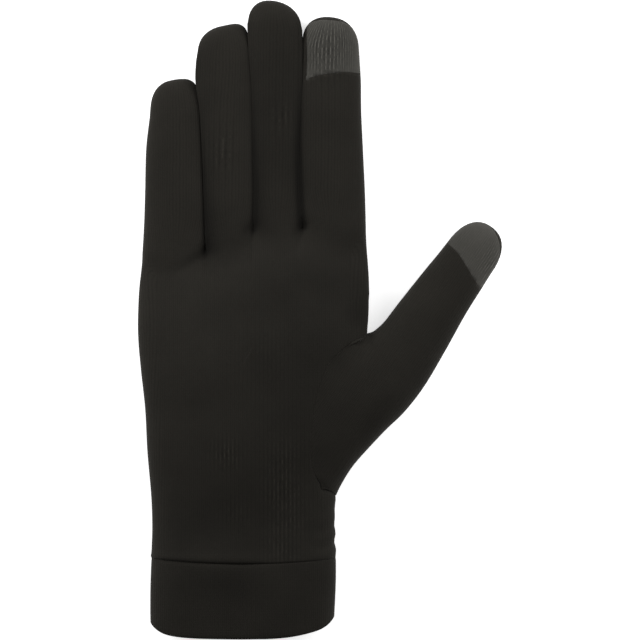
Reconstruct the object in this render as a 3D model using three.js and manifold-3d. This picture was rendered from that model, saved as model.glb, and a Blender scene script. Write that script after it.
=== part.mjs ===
// A thin knitted glove liner for the right hand, lying palm up on a flat surface.
//
// The glove is one hollow cloth skin with four fingers and a set-in thumb. The skin is cut along
// its seams into the pieces that are sewn together: the hand, the thumb, the folded hem at the
// wrist and the two touch patches, on the palm side of the index finger and of the thumb.
//
// Millimetres. +X points to the thumb side, +Y to the fingertips and +Z up, out of the palm.
// The glove is worked out with the middle of its wrist rim at the start of Y and its palm
// centred on X, and is then moved so that the middle of its footprint lies at the origin.
import * as THREE from 'three';
import { mergeVertices } from 'three/addons/utils/BufferGeometryUtils.js';
import Module from 'manifold-3d';

// Cloth
const WALL = 1.2;               // one layer of jersey
const HEM_WALL = 2.2;           // the hem is the jersey folded double
const SEAM_GAP = 0.3;           // clearance between two sewn pieces
const FINGER_GAP = 0.4;         // clearance between two fingers that lie side by side
const REST_FLAT = 1.2;          // how far the round of a section is flattened where it rests

// Wrist
const HEM_HEIGHT = 28.8;
const HEM_SCOOP = 6;            // how far the rim is drawn up at the two sides
const SEAM_SCOOP = 2.6;         // the same, for the seam that holds the hem
const WRIST_WIDTH = 68.6;
const WRIST_HEIGHT = 24;

// Palm
const PALM_LENGTH = 125.6;      // from the hem's seam to the fork of middle and index finger
const PALM_WIDTH = 86.4;
const PALM_HEIGHT = 24;
const WRIST_END = 0.1;          // share of the palm's length over which the seam's curve fades
const KNUCKLE_START = 0.7;      // share of the palm's length from which it follows the forks

// Fingers: the length is from the fork to the tip, the width is at the fork
const LITTLE_LENGTH = 65.5;
const LITTLE_WIDTH = 23.9;
const LITTLE_FORK_DROP = 9.8;   // how far the little finger's fork lies below the index finger's
const RING_LENGTH = 77.2;
const RING_WIDTH = 17.9;
const RING_FORK_DROP = 1.1;
const MIDDLE_LENGTH = 85.6;
const MIDDLE_WIDTH = 18.8;
const INDEX_LENGTH = 79.2;
const INDEX_WIDTH = 23.5;
const FINGER_HEIGHT = 15;
const FINGER_ROOT = 20;         // length of each finger's root inside the palm
const ROOT_TAPER = 2.5;         // how much slimmer the root starts, all round
const TIP_SAG = 0.93;           // how high a tip's end lies, as a share of its finger's middle
const MIDDLE_RISE = 1.0;        // the middle finger lies a little over its neighbours

// Thumb: the length is from its fork to its tip, the base from its fork down to the wrist
const THUMB_LENGTH = 58.6;
const THUMB_BASE = 53;
const THUMB_WIDTH = 26;
const THUMB_HEIGHT = 21;
const THUMB_ANGLE = 56;         // degrees from +X to the thumb's axis
const THUMB_ROOT_TAPER = 4;     // how much slimmer the thumb starts inside the palm
const THUMB_OFFSET = 43.9;      // from the palm's middle to the thumb's fork
const THUMB_FORK = 0.69;        // share of the palm's length at which the thumb forks off

// Touch patches
const INDEX_PATCH_LENGTH = 21.2;
const INDEX_PATCH_INSET = 2.0;  // the patch stops this far from the middle finger's side
const THUMB_PATCH_LENGTH = 17.5;
const PATCH_EDGE_RISE = 1.5;    // the patch ends this far above the finger's middle height
const PATCH_PAST = 0.2;         // share of its width by which the cut runs past the thumb's sides

// Facets
const PALM_SIDES = 40;
const FINGER_SIDES = 22;
const THUMB_SIDES = 28;
const TIP_STEPS = 5;
const TIP_OPEN = 0.4;           // share of a step that is left for the very tip
const SECTION_STEP = 3;         // sections of a finger lie at least this far apart
const SEAM_STEPS = 20;
const ROUNDNESS = 2.3;          // 2 is an ellipse, more is boxier
const FAR = 400;                // reach of a cutting prism, beyond any size of the glove
const SEAM_FALL = 0.125;        // slope at which the cut for the thumb runs out below the thumb

// Palm sections from the hem's seam to the forks. along is a share of PALM_LENGTH, palm is 0
// where the section has the wrist's width and 1 where it has the palm's, shift is the section's
// side shift as a share of PALM_WIDTH, and top and bottom are shares of PALM_HEIGHT.
const PALM_SECTIONS = [
  { along: 0.0, palm: 0.05, shift: -0.044, top: 0.99, bottom: 0 },
  { along: 0.1, palm: 0.0, shift: -0.044, top: 0.95, bottom: 0 },
  { along: 0.2, palm: 0.03, shift: -0.044, top: 0.96, bottom: 0 },
  { along: 0.35, palm: 0.33, shift: -0.031, top: 1.0, bottom: 0 },
  { along: 0.49, palm: 0.6, shift: -0.013, top: 1.0, bottom: 0 },
  { along: 0.63, palm: 0.9, shift: 0, top: 0.97, bottom: 0 },
  { along: 0.74, palm: 1.0, shift: 0, top: 0.9, bottom: 0 },
  { along: 0.84, palm: 0.96, shift: 0, top: 0.78, bottom: 0 },
  { along: 0.92, palm: 0.91, shift: 0, top: 0.66, bottom: 0.02 },
  { along: 0.97, palm: 0.89, shift: 0, top: 0.54, bottom: 0.06 },
  { along: 1.0, palm: 0.8, shift: 0, top: 0.44, bottom: 0.14 },
];

// The sides of the fingers, from the forks of the middle finger (up 0) to its tip (up 1). Each
// column says how far a side, or the line between two fingers, has moved to +X from its place
// at the forks, as a share of PALM_WIDTH.
const FINGER_LINES = [
  { up: -0.24, outer: 0, littleRing: 0.003, ringMiddle: 0, middleIndex: 0, inner: 0 },
  { up: 0.0, outer: 0.018, littleRing: 0.001, ringMiddle: 0.001, middleIndex: -0.003, inner: -0.007 },
  { up: 0.15, outer: 0.023, littleRing: -0.001, ringMiddle: 0.005, middleIndex: -0.01, inner: -0.011 },
  { up: 0.35, outer: 0.027, littleRing: -0.006, ringMiddle: 0.002, middleIndex: -0.016, inner: -0.02 },
  { up: 0.5, outer: 0.041, littleRing: -0.015, ringMiddle: -0.001, middleIndex: -0.012, inner: -0.027 },
  { up: 0.56, outer: 0.05, littleRing: -0.021, ringMiddle: -0.003, middleIndex: -0.01, inner: -0.028 },
  { up: 0.65, outer: 0.06, littleRing: -0.033, ringMiddle: -0.006, middleIndex: -0.006, inner: -0.029 },
  { up: 0.75, outer: 0.08, littleRing: -0.027, ringMiddle: -0.015, middleIndex: -0.005, inner: -0.035 },
  { up: 0.88, outer: 0.08, littleRing: -0.02, ringMiddle: -0.022, middleIndex: -0.01, inner: -0.04 },
];

// The fingers from left to right. straight is the share of the length that is reached before
// the tip rounds off, lean the tip's side shift as a share of the width; root and end are the
// height at the fork and at the tip as shares of FINGER_HEIGHT.
const FINGERS = [
  {
    name: 'little', length: LITTLE_LENGTH, width: LITTLE_WIDTH, drop: LITTLE_FORK_DROP, rise: 0,
    left: 'outer', right: 'littleRing', straight: 0.8, lean: 0.03, root: 0.95, end: 0.84,
  },
  {
    name: 'ring', length: RING_LENGTH, width: RING_WIDTH, drop: RING_FORK_DROP, rise: 0,
    left: 'littleRing', right: 'ringMiddle', straight: 0.85, lean: 0.16, root: 1, end: 0.88,
  },
  {
    name: 'middle', length: MIDDLE_LENGTH, width: MIDDLE_WIDTH, drop: 0, rise: MIDDLE_RISE,
    left: 'ringMiddle', right: 'middleIndex', straight: 0.88, lean: -0.03, root: 1.02, end: 0.9,
  },
  {
    name: 'index', length: INDEX_LENGTH, width: INDEX_WIDTH, drop: 0, rise: 0,
    left: 'middleIndex', right: 'inner', straight: 0.8, lean: 0.01, root: 1.02, end: 0.86,
  },
];

// Thumb sections from inside the palm to where the tip rounds off. Each runs from a point on
// the inner edge to one on the outer edge. Points count from the thumb's fork: along its axis,
// as a share of THUMB_LENGTH or, below the fork, of THUMB_BASE, and across, as a share of
// THUMB_WIDTH. height is a share of THUMB_HEIGHT.
const THUMB_SECTIONS = [
  { inAlong: -0.22, inAcross: -0.15, outAlong: -1.02, outAcross: 0.55, height: 0.84 },
  { inAlong: -0.08, inAcross: -0.04, outAlong: -1.0, outAcross: 0.85, height: 0.95 },
  { inAlong: -0.01, inAcross: 0.01, outAlong: -0.78, outAcross: 0.89, height: 1.0 },
  { inAlong: 0.03, inAcross: 0.04, outAlong: -0.53, outAcross: 0.97, height: 1.0 },
  { inAlong: 0.1, inAcross: 0.06, outAlong: -0.33, outAcross: 1.03, height: 0.97 },
  { inAlong: 0.19, inAcross: 0.07, outAlong: -0.1, outAcross: 1.06, height: 0.92 },
  { inAlong: 0.36, inAcross: 0.1, outAlong: 0.17, outAcross: 1.02, height: 0.86 },
  { inAlong: 0.55, inAcross: 0.14, outAlong: 0.43, outAcross: 0.97, height: 0.81 },
  { inAlong: 0.66, inAcross: 0.16, outAlong: 0.61, outAcross: 0.955, height: 0.78 },
  { inAlong: 0.75, inAcross: 0.175, outAlong: 0.74, outAcross: 0.94, height: 0.75 },
];
const THUMB_TIP = { along: 1, across: 0.54 };

// The thumb's seam, from its fork to the wrist: across is a share of PALM_WIDTH, and down a
// share of THUMB_BASE, counted from the fork. On the palm it bows round the ball of the thumb;
// on the back it runs near the edge. At both ends it goes round the glove's side in one line.
const THUMB_SEAM_START = { across: 0.474, down: 0.038 };
const THUMB_SEAM_PALM = [
  { across: 0.4, down: 0.1185 },
  { across: 0.295, down: 0.3555 },
  { across: 0.251, down: 0.699 },
  { across: 0.25, down: 0.9005 },
  { across: 0.285, down: 1.0785 },
];
const THUMB_SEAM_BACK = [
  { across: 0.425, down: 0.332 },
  { across: 0.375, down: 0.687 },
  { across: 0.34, down: 0.9715 },
];
const THUMB_SEAM_END = { across: 0.33, down: 1.135 };
const THUMB_SEAM_OUT = { across: 0.36, down: 1.1495 };

// The line where each touch patch starts, across its finger from the inner to the outer edge,
// as shares of the patch's length by which the line lies above the patch's start.
const INDEX_PATCH_LINE = [-0.09, -0.02, 0, 0.01, 0];
const THUMB_PATCH_LINE = [0.12, 0.17, 0.1, -0.04, -0.2, -0.3];

const wasm = await Module();
wasm.setup();

const mix = (a, b, t) => a + (b - a) * t;
const superEllipse = (part) => Math.sign(part) * Math.abs(part) ** (2 / ROUNDNESS);

// A closed geometry as a solid that can be joined and cut.
function solid(geometry) {
  const bare = new THREE.BufferGeometry();
  bare.setAttribute('position', geometry.getAttribute('position'));
  bare.setIndex(geometry.getIndex());
  const merged = mergeVertices(bare, 1e-4);
  return new wasm.Manifold(new wasm.Mesh({
    numProp: 3,
    vertProperties: new Float32Array(merged.getAttribute('position').array),
    triVerts: new Uint32Array(merged.getIndex().array),
  }));
}

function geometryOf(shape) {
  const mesh = shape.getMesh();
  const geometry = new THREE.BufferGeometry();
  geometry.setAttribute('position', new THREE.BufferAttribute(mesh.vertProperties.slice(), 3));
  geometry.setIndex(new THREE.BufferAttribute(mesh.triVerts.slice(), 1));
  return geometry;
}

// Skins a row of rings, each with the same number of points, and closes both ends.
function loft(rings) {
  const sides = rings[0].length;
  const positions = rings.flat().flatMap((p) => [p.x, p.y, p.z]);
  const middle = (ring) => ring.reduce((sum, p) => sum.add(p), new THREE.Vector3())
    .divideScalar(sides);
  const first = rings.length * sides;
  positions.push(...middle(rings[0]), ...middle(rings.at(-1)));
  const faces = [];
  for (let i = 0; i < sides; i += 1) {
    const next = (i + 1) % sides;
    for (let row = 0; row + 1 < rings.length; row += 1) {
      const a = row * sides + i;
      const b = row * sides + next;
      faces.push(a, a + sides, b, b, a + sides, b + sides);
    }
    const last = (rings.length - 1) * sides;
    faces.push(first, i, next, first + 1, last + next, last + i);
  }
  const geometry = new THREE.BufferGeometry();
  geometry.setAttribute('position', new THREE.Float32BufferAttribute(positions, 3));
  geometry.setIndex(faces);
  return solid(geometry);
}

// A section of a cloth tube between two edge points in plan, set in by inset all round. slant
// is the share by which a section that runs aslant across its tube must count sideways.
function section(left, right, bottom, top, inset, slant = 1) {
  const half = right.clone().sub(left).multiplyScalar(0.5);
  return {
    centre: left.clone().add(right).multiplyScalar(0.5),
    half: half.setLength(half.length() - inset / slant),
    level: (bottom + top) / 2,
    tall: (top - bottom) / 2 - inset,
  };
}

// The ring of points round a section, no lower than floor. lag moves each point in Y by its x.
function ring({ centre, half, level, tall }, sides, floor, lag = () => 0) {
  return Array.from({ length: sides }, (_, i) => {
    const turn = (i / sides) * 2 * Math.PI;
    const u = superEllipse(Math.cos(turn));
    const v = superEllipse(Math.sin(turn));
    const x = centre.x + half.x * u;
    return new THREE.Vector3(x, centre.y + half.y * u + lag(x), Math.max(level + tall * v, floor));
  });
}

// The rounded end of a tube, from its last section to the tip's point in plan. A tip that lies
// to one side is reached as the tube narrows, so the end stays between the tube's own sides.
function roundedEnd(last, tip, tipLevel, sides, floor) {
  const across = last.half.clone().normalize();
  const reach = tip.clone().sub(last.centre);
  const aside = across.clone().multiplyScalar(reach.dot(across));
  const ahead = reach.sub(aside);
  return Array.from({ length: TIP_STEPS }, (_, i) => {
    const turn = ((i + 1) / (TIP_STEPS + TIP_OPEN)) * (Math.PI / 2);
    const climb = superEllipse(Math.sin(turn));
    const shrink = superEllipse(Math.cos(turn));
    return ring({
      centre: last.centre.clone().addScaledVector(ahead, climb).addScaledVector(aside, 1 - shrink),
      half: last.half.clone().multiplyScalar(shrink),
      level: mix(last.level, tipLevel, climb),
      tall: last.tall * shrink,
    }, sides, floor);
  });
}

const palmCentre = (row) => row.shift * PALM_WIDTH;
const palmWidth = (row) => mix(WRIST_WIDTH, PALM_WIDTH, row.palm);

// The rim and the hem's seam are drawn up towards the two sides of the palm's section.
const scoop = (depth, row) => (x) => {
  const u = Math.min(1, Math.abs(x - palmCentre(row)) / (palmWidth(row) / 2));
  return depth * (1 - (1 - u ** ROUNDNESS) ** (2 / ROUNDNESS));
};

// The fingers lie in a row, centred on the palm: where each line between them starts.
function lineStarts() {
  const widths = FINGERS.reduce((sum, { width }) => sum + width, 0);
  let x = -(widths + FINGER_GAP * (FINGERS.length - 1)) / 2;
  const starts = { outer: x };
  FINGERS.forEach(({ width, right }) => {
    x += width + FINGER_GAP / (right === 'inner' || right === 'littleRing' ? 2 : 1);
    starts[right] = x;
  });
  return starts;
}
const starts = lineStarts();
const knuckles = HEM_HEIGHT + PALM_LENGTH;

// Where a line between the fingers runs, at a height above the knuckles.
function lineAt(name, y) {
  const up = (y - knuckles) / MIDDLE_LENGTH;
  const above = FINGER_LINES.findIndex((row) => row.up > up);
  const next = above < 0 ? FINGER_LINES.length - 1 : Math.max(above, 1);
  const from = FINGER_LINES[next - 1];
  const to = FINGER_LINES[next];
  const share = THREE.MathUtils.clamp((up - from.up) / (to.up - from.up), 0, 1);
  return starts[name] + mix(from[name], to[name], share) * PALM_WIDTH;
}

// One finger: its root inside the palm, its sections and its rounded tip.
function finger(shape, inset) {
  const fork = knuckles - shape.drop;
  const shoulder = fork + shape.straight * shape.length;
  const between = FINGER_LINES.map((row) => knuckles + row.up * MIDDLE_LENGTH)
    .filter((y) => y > fork + SECTION_STEP && y < shoulder - SECTION_STEP);
  const sections = [fork - FINGER_ROOT, fork, ...between, shoulder].map((y) => {
    const gapLeft = shape.left === 'outer' ? 0 : FINGER_GAP / 2;
    const gapRight = shape.right === 'inner' ? 0 : FINGER_GAP / 2;
    const share = Math.max(0, (y - fork) / (shoulder - fork));
    const height = mix(shape.root, shape.end, share) * FINGER_HEIGHT;
    const bottom = shape.rise - REST_FLAT;
    return section(
      new THREE.Vector2(lineAt(shape.left, y) + gapLeft, y),
      new THREE.Vector2(lineAt(shape.right, y) - gapRight, y),
      bottom,
      bottom + height,
      y < fork ? inset + ROOT_TAPER : inset,
    );
  });
  const last = sections.at(-1);
  const tip = new THREE.Vector2(last.centre.x + shape.lean * shape.width, fork + shape.length - inset);
  return loft([
    ...sections.map((part) => ring(part, FINGER_SIDES, inset)),
    ...roundedEnd(last, tip, last.level * TIP_SAG, FINGER_SIDES, inset),
  ]);
}

// How far the palm's end lies below the knuckles, at a place across the palm.
function forkDrop(x) {
  const [little, ringFinger] = FINGERS;
  if (x < starts.littleRing) return little.drop;
  if (x > starts.middleIndex) return 0;
  if (x < starts.ringMiddle) {
    const share = (x - starts.littleRing) / (starts.ringMiddle - starts.littleRing);
    return mix(little.drop, ringFinger.drop, share);
  }
  const share = (x - starts.ringMiddle) / (starts.middleIndex - starts.ringMiddle);
  return mix(ringFinger.drop, 0, share);
}

// A section of the palm or the wrist, at a height along the glove.
function palmSection(row, y, height, inset) {
  return section(
    new THREE.Vector2(palmCentre(row) - palmWidth(row) / 2, y),
    new THREE.Vector2(palmCentre(row) + palmWidth(row) / 2, y),
    row.bottom > 0 ? row.bottom * height : -REST_FLAT,
    row.top * height,
    inset,
  );
}

function wristRing(y, drawnUp, inset) {
  const row = PALM_SECTIONS[0];
  const flat = palmSection(row, y, WRIST_HEIGHT, inset);
  return ring(flat, PALM_SIDES, inset, scoop(drawnUp, row));
}

// The wrist and the palm, up to the forks of the fingers.
function palm(inset) {
  const rings = PALM_SECTIONS.map((row) => {
    const nearEnd = Math.max(0, (row.along - KNUCKLE_START) / (1 - KNUCKLE_START));
    const y = HEM_HEIGHT + row.along * PALM_LENGTH - inset * nearEnd;
    const height = mix(WRIST_HEIGHT, PALM_HEIGHT, Math.min(1, row.along / WRIST_END));
    const drawnUp = scoop(SEAM_SCOOP * Math.max(0, 1 - row.along / WRIST_END), row);
    const lag = (x) => drawnUp(x) - nearEnd * forkDrop(x);
    return ring(palmSection(row, y, height, inset), PALM_SIDES, inset, lag);
  });
  if (inset > 0) return loft([wristRing(HEM_HEIGHT - SEAM_GAP, SEAM_SCOOP, inset), ...rings]);
  return loft([
    wristRing(0, HEM_SCOOP, 0),
    wristRing(HEM_HEIGHT / 2, (HEM_SCOOP + SEAM_SCOOP) / 2, 0),
    ...rings,
  ]);
}

// The hollow of the hem, which runs out past the rim.
function hemHollow() {
  return loft([
    wristRing(-HEM_HEIGHT / 2, HEM_SCOOP, HEM_WALL),
    wristRing(0, HEM_SCOOP, HEM_WALL),
    wristRing(HEM_HEIGHT + SEAM_GAP, SEAM_SCOOP, HEM_WALL),
  ]);
}

const thumbAxis = new THREE.Vector2(
  Math.cos(THREE.MathUtils.degToRad(THUMB_ANGLE)),
  Math.sin(THREE.MathUtils.degToRad(THUMB_ANGLE)),
);
const thumbAside = new THREE.Vector2(thumbAxis.y, -thumbAxis.x);
const thumbFork = new THREE.Vector2(THUMB_OFFSET, HEM_HEIGHT + THUMB_FORK * PALM_LENGTH);

// A point of the thumb in plan, counted from its fork.
function onThumb(along, across) {
  const reach = along * (along > 0 ? THUMB_LENGTH : THUMB_BASE);
  return thumbFork.clone()
    .addScaledVector(thumbAxis, reach)
    .addScaledVector(thumbAside, across * THUMB_WIDTH);
}

function thumb(inset) {
  const sections = THUMB_SECTIONS.map((row, i) => {
    const left = onThumb(row.inAlong, row.inAcross);
    const right = onThumb(row.outAlong, row.outAcross);
    const slant = right.clone().sub(left).normalize().dot(thumbAside);
    const setIn = i === 0 ? inset + THUMB_ROOT_TAPER : inset;
    return section(left, right, -REST_FLAT, row.height * THUMB_HEIGHT, setIn, slant);
  });
  const last = sections.at(-1);
  const tip = onThumb(THUMB_TIP.along, THUMB_TIP.across).addScaledVector(thumbAxis, -inset);
  return loft([
    ...sections.map((part) => ring(part, THUMB_SIDES, inset)),
    ...roundedEnd(last, tip, last.level * TIP_SAG, THUMB_SIDES, inset),
  ]);
}

// An upright prism over an outline in plan.
function prism(outline, low = -FAR, high = FAR) {
  const geometry = new THREE.ExtrudeGeometry(new THREE.Shape(outline), {
    depth: high - low,
    bevelEnabled: false,
  });
  geometry.translate(0, 0, low);
  return solid(geometry);
}

// A thin upright wall along a line in plan: it leaves the clearance between two pieces.
function blade(line, low = -FAR, high = FAR) {
  const directions = line.slice(1).map((point, i) => point.clone().sub(line[i]).normalize());
  const sideways = line.map((_, i) => {
    const before = directions[Math.max(i - 1, 0)];
    const after = directions[Math.min(i, directions.length - 1)];
    const along = before.clone().add(after).normalize();
    const reach = SEAM_GAP / 2 / along.dot(after);
    return new THREE.Vector2(-along.y, along.x).multiplyScalar(reach);
  });
  const leftSide = line.map((point, i) => point.clone().add(sideways[i]));
  const rightSide = line.map((point, i) => point.clone().sub(sideways[i])).reverse();
  return prism([...leftSide, ...rightSide], low, high);
}

function hemSeam() {
  const row = PALM_SECTIONS[0];
  const drawnUp = scoop(SEAM_SCOOP, row);
  const line = Array.from({ length: SEAM_STEPS + 1 }, (_, i) => {
    const x = palmCentre(row) + (i / SEAM_STEPS - 0.5) * palmWidth(row);
    return new THREE.Vector2(x, HEM_HEIGHT + drawnUp(x));
  });
  const side = HEM_HEIGHT + SEAM_SCOOP;
  return [new THREE.Vector2(-FAR, side), ...line, new THREE.Vector2(FAR, side)];
}

// A seam of the thumb, from far out between thumb and index finger to far out below the thumb.
function thumbSeam(table) {
  const onPalm = ({ across, down }) => (
    new THREE.Vector2(across * PALM_WIDTH, thumbFork.y - down * THUMB_BASE)
  );
  const curve = new THREE.SplineCurve([THUMB_SEAM_START, ...table, THUMB_SEAM_END].map(onPalm));
  const between = THREE.MathUtils.degToRad((THUMB_ANGLE + 90) / 2);
  const side = onPalm(THUMB_SEAM_OUT);
  return [
    thumbFork.clone().add(new THREE.Vector2(Math.cos(between), Math.sin(between)).setLength(FAR)),
    thumbFork,
    ...curve.getPoints(SEAM_STEPS),
    side,
    side.clone().add(new THREE.Vector2(FAR, -FAR * SEAM_FALL)),
  ];
}

const corner = new THREE.Vector2(FAR, FAR);
const below = [new THREE.Vector2(FAR, -FAR), new THREE.Vector2(-FAR, -FAR)];

// The index finger's patch: the line that it starts at, its region beyond that line and the
// height above which it lies.
function indexPatch() {
  const tip = knuckles + INDEX_LENGTH;
  const start = tip - INDEX_PATCH_LENGTH;
  const inner = lineAt('middleIndex', start) + FINGER_GAP / 2 + INDEX_PATCH_INSET;
  const outer = inner + INDEX_WIDTH;
  const beyond = tip + INDEX_WIDTH;
  const line = INDEX_PATCH_LINE.map((share, i) => new THREE.Vector2(
    mix(inner, outer, i / (INDEX_PATCH_LINE.length - 1)),
    start + share * INDEX_PATCH_LENGTH,
  ));
  const region = [...line, new THREE.Vector2(outer, beyond), new THREE.Vector2(inner, beyond)];
  const level = (FINGERS.at(-1).end * FINGER_HEIGHT) / 2 - REST_FLAT + PATCH_EDGE_RISE;
  return { line: [new THREE.Vector2(inner, beyond), ...line], region, level };
}

// The thumb's patch, in the same terms.
function thumbPatch() {
  const share = THUMB_PATCH_LENGTH / THUMB_LENGTH;
  const line = THUMB_PATCH_LINE.map((ahead, i) => onThumb(
    1 + (ahead - 1) * share,
    mix(-PATCH_PAST, 1 + PATCH_PAST, i / (THUMB_PATCH_LINE.length - 1)),
  ));
  const beyond = 1 + PATCH_PAST;
  const region = [...line, onThumb(beyond, beyond), onThumb(beyond, -PATCH_PAST)];
  const last = THUMB_SECTIONS.at(-1);
  const level = (last.height * THUMB_HEIGHT - REST_FLAT) / 2 + PATCH_EDGE_RISE;
  return { line, region, level };
}

// A level cut with the seam's clearance, over an outline in plan.
const levelBlade = (outline, level) => prism(outline, level - SEAM_GAP / 2, level + SEAM_GAP / 2);

function gloveSkin() {
  const filled = (inset) => FINGERS.reduce(
    (sum, shape) => sum.add(finger(shape, inset)),
    palm(inset).add(thumb(inset)),
  );
  return filled(0).subtract(filled(WALL)).subtract(hemHollow());
}

function cutPieces() {
  const hemLine = hemSeam();
  const palmSeam = thumbSeam(THUMB_SEAM_PALM);
  const backSeam = thumbSeam(THUMB_SEAM_BACK);
  const seamLevel = WRIST_HEIGHT / 2;
  const index = indexPatch();
  const thumbTip = thumbPatch();
  const cuts = [
    blade(hemLine),
    blade(palmSeam, seamLevel, FAR),
    blade(backSeam, -FAR, seamLevel),
    blade(index.line, index.level - SEAM_GAP / 2, FAR),
    levelBlade(index.region, index.level),
    blade(thumbTip.line, thumbTip.level - SEAM_GAP / 2, FAR),
    levelBlade(thumbTip.region, thumbTip.level),
  ];
  const skin = cuts.reduce((rest, cut) => rest.subtract(cut), gloveSkin());
  const hemSide = prism([...hemLine, ...below]);
  const thumbSide = prism([...palmSeam, corner], seamLevel, FAR)
    .add(prism([...backSeam, corner], -FAR, seamLevel));
  const indexSide = prism(index.region, index.level, FAR);
  const thumbTipSide = prism(thumbTip.region, thumbTip.level, FAR);
  return {
    hand_shell: skin.subtract(hemSide).subtract(thumbSide).subtract(indexSide),
    thumb: skin.intersect(thumbSide).subtract(hemSide).subtract(thumbTipSide),
    cuff_hem: skin.intersect(hemSide),
    index_touch_patch: skin.intersect(indexSide),
    thumb_touch_patch: skin.intersect(thumbTipSide),
  };
}

const jersey = { color: 0x24221f, roughness: 0.95, metalness: 0 };
const patchKnit = { color: 0x43423f, roughness: 0.9, metalness: 0 };
const FINISHES = {
  hand_shell: jersey,
  thumb: jersey,
  cuff_hem: jersey,
  index_touch_patch: patchKnit,
  thumb_touch_patch: patchKnit,
};

const glove = new THREE.Group();
for (const [name, shape] of Object.entries(cutPieces())) {
  const mesh = new THREE.Mesh(geometryOf(shape), new THREE.MeshStandardMaterial(FINISHES[name]));
  mesh.name = name;
  glove.add(mesh);
}
const footprint = new THREE.Box3().setFromObject(glove, true);
const centre = footprint.getCenter(new THREE.Vector3());
glove.position.set(-centre.x, -centre.y, -footprint.min.z);

export default glove;
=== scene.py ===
"""The looks of a thin knitted glove liner for the right hand, lying palm up.

Each piece of the glove is grown as a skin of knitted cloth: a ring of points is laid round a
section of the glove and is extruded from section to section. The skin opens into four fingers
at the knuckles, and the thumb starts at an opening in the side of the palm.

Lengths are in metres. Points are worked out with the middle of the wrist's rim at the start
of Y and the palm centred on X, and are then moved to the CAD model's place.
"""

import math
from collections import namedtuple

import bmesh
import bpy
from mathutils import Matrix, Vector, noise


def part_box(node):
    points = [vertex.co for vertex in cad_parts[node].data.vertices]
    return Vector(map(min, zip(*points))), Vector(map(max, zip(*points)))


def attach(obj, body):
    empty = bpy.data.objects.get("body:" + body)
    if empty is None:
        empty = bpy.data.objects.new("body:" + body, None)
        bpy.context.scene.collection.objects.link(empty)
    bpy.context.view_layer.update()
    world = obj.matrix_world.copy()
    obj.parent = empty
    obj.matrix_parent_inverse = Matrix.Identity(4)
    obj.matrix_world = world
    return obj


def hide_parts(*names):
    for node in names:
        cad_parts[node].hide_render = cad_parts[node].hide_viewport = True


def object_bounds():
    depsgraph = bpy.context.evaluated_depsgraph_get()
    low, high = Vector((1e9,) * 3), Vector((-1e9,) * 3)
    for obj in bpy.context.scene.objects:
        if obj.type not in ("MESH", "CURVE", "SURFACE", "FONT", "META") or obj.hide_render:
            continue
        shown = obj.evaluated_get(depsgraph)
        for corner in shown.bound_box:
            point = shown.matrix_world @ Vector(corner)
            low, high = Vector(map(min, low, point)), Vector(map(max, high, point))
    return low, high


bl_info = {
    "name": "Knitted Glove Liner",
    "version": (1, 0, 0),
    "blender": (4, 5, 0),
    "location": "3D View > Sidebar > Glove",
    "description": "Grows a knitted glove liner over its CAD frame",
    "category": "Add Mesh",
}

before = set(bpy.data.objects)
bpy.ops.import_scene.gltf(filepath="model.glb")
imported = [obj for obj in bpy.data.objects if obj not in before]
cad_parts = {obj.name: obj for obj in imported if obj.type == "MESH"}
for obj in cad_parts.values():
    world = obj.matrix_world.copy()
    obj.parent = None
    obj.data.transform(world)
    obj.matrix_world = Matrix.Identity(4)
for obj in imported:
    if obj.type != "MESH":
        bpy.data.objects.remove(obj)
CAD_BOX = [list(corner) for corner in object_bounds()]

MM = 0.001

# How round a section is: 2 is an ellipse, and a higher number is nearer to a box
ROUNDNESS = 2.3
FINGER_ROUNDNESS = 3.0
THUMB_TIP_ROUNDNESS = 2.35

# Columns round a skin and rows along it
LAST_FINGER = 3
FINGER_COLUMNS = 18
SIDE_COLUMNS = 16
FRONT_COLUMNS = (LAST_FINGER + 1) * FINGER_COLUMNS
BACK_START = FRONT_COLUMNS + SIDE_COLUMNS
BACK_END = BACK_START + FRONT_COLUMNS
RING_COLUMNS = 2 * BACK_START
WRIST_ROWS = 17
THUMB_ROWS = 34
THUMB_TOP = WRIST_ROWS + THUMB_ROWS
KNUCKLE_ROWS = 30
ROW_STEP = 1.6 * MM
TIP_ROWS = 10
THUMB_STEPS = 58
HEM_ROWS = 19
HEM_FOLD_STEPS = 8
WRIST_CROWDING = 1.25
THUMB_CROWDING = 1.15

# The angle at which a section's side starts
PALM_SIDE = math.radians(35)
FINGER_SIDE = math.radians(40)
FINGER_PRESS = math.radians(52)
THUMB_SIDE = math.radians(30)

# Lengths, and numbers of rows, over which one shape blends into the next
SETTLING = 0.5 * MM
FORK_BLEND = 6 * MM
KNUCKLE_BLEND = 13 * MM
SEAM_FADE_ROWS = 7
FORK_RISE_ROWS = 11
HEEL_DROP_ROWS = 9
THUMB_FREE_STEPS = 17

# The fingers' sides and ends, which stop a part of a row short of closing, and the skin round
# the thumb's fork
FINGER_LAP = 0.25 * MM
TIP_SAG = 0.93
TIP_GAP = 0.4
FORK_REACH = 14 * MM
FORK_SMOOTHINGS = 8
FORK_SMOOTHING = 0.5

# How the wales turn where the cloth goes round a side
ROUND_PALM = 0.7
ROUND_FINGER = 0.95
WALES_REACH = 15 * MM
WALES_TURN = 0.6
THUMB_MIDDLE = (0.3, 0.55)

# The edge of a touch patch, above the middle of its finger
PATCH_ABOVE = 0.2 * MM
PATCH_RISE = 3.2 * MM
PATCH_SLOPE = 8 * MM


Tip = namedtuple("Tip", "centre half level tall end roundness slant")


def table(names, *rows):
    """A table, mostly of shares of the named sizes: one dictionary for each row."""
    return [dict(zip(names.split(), row)) for row in rows]


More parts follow.
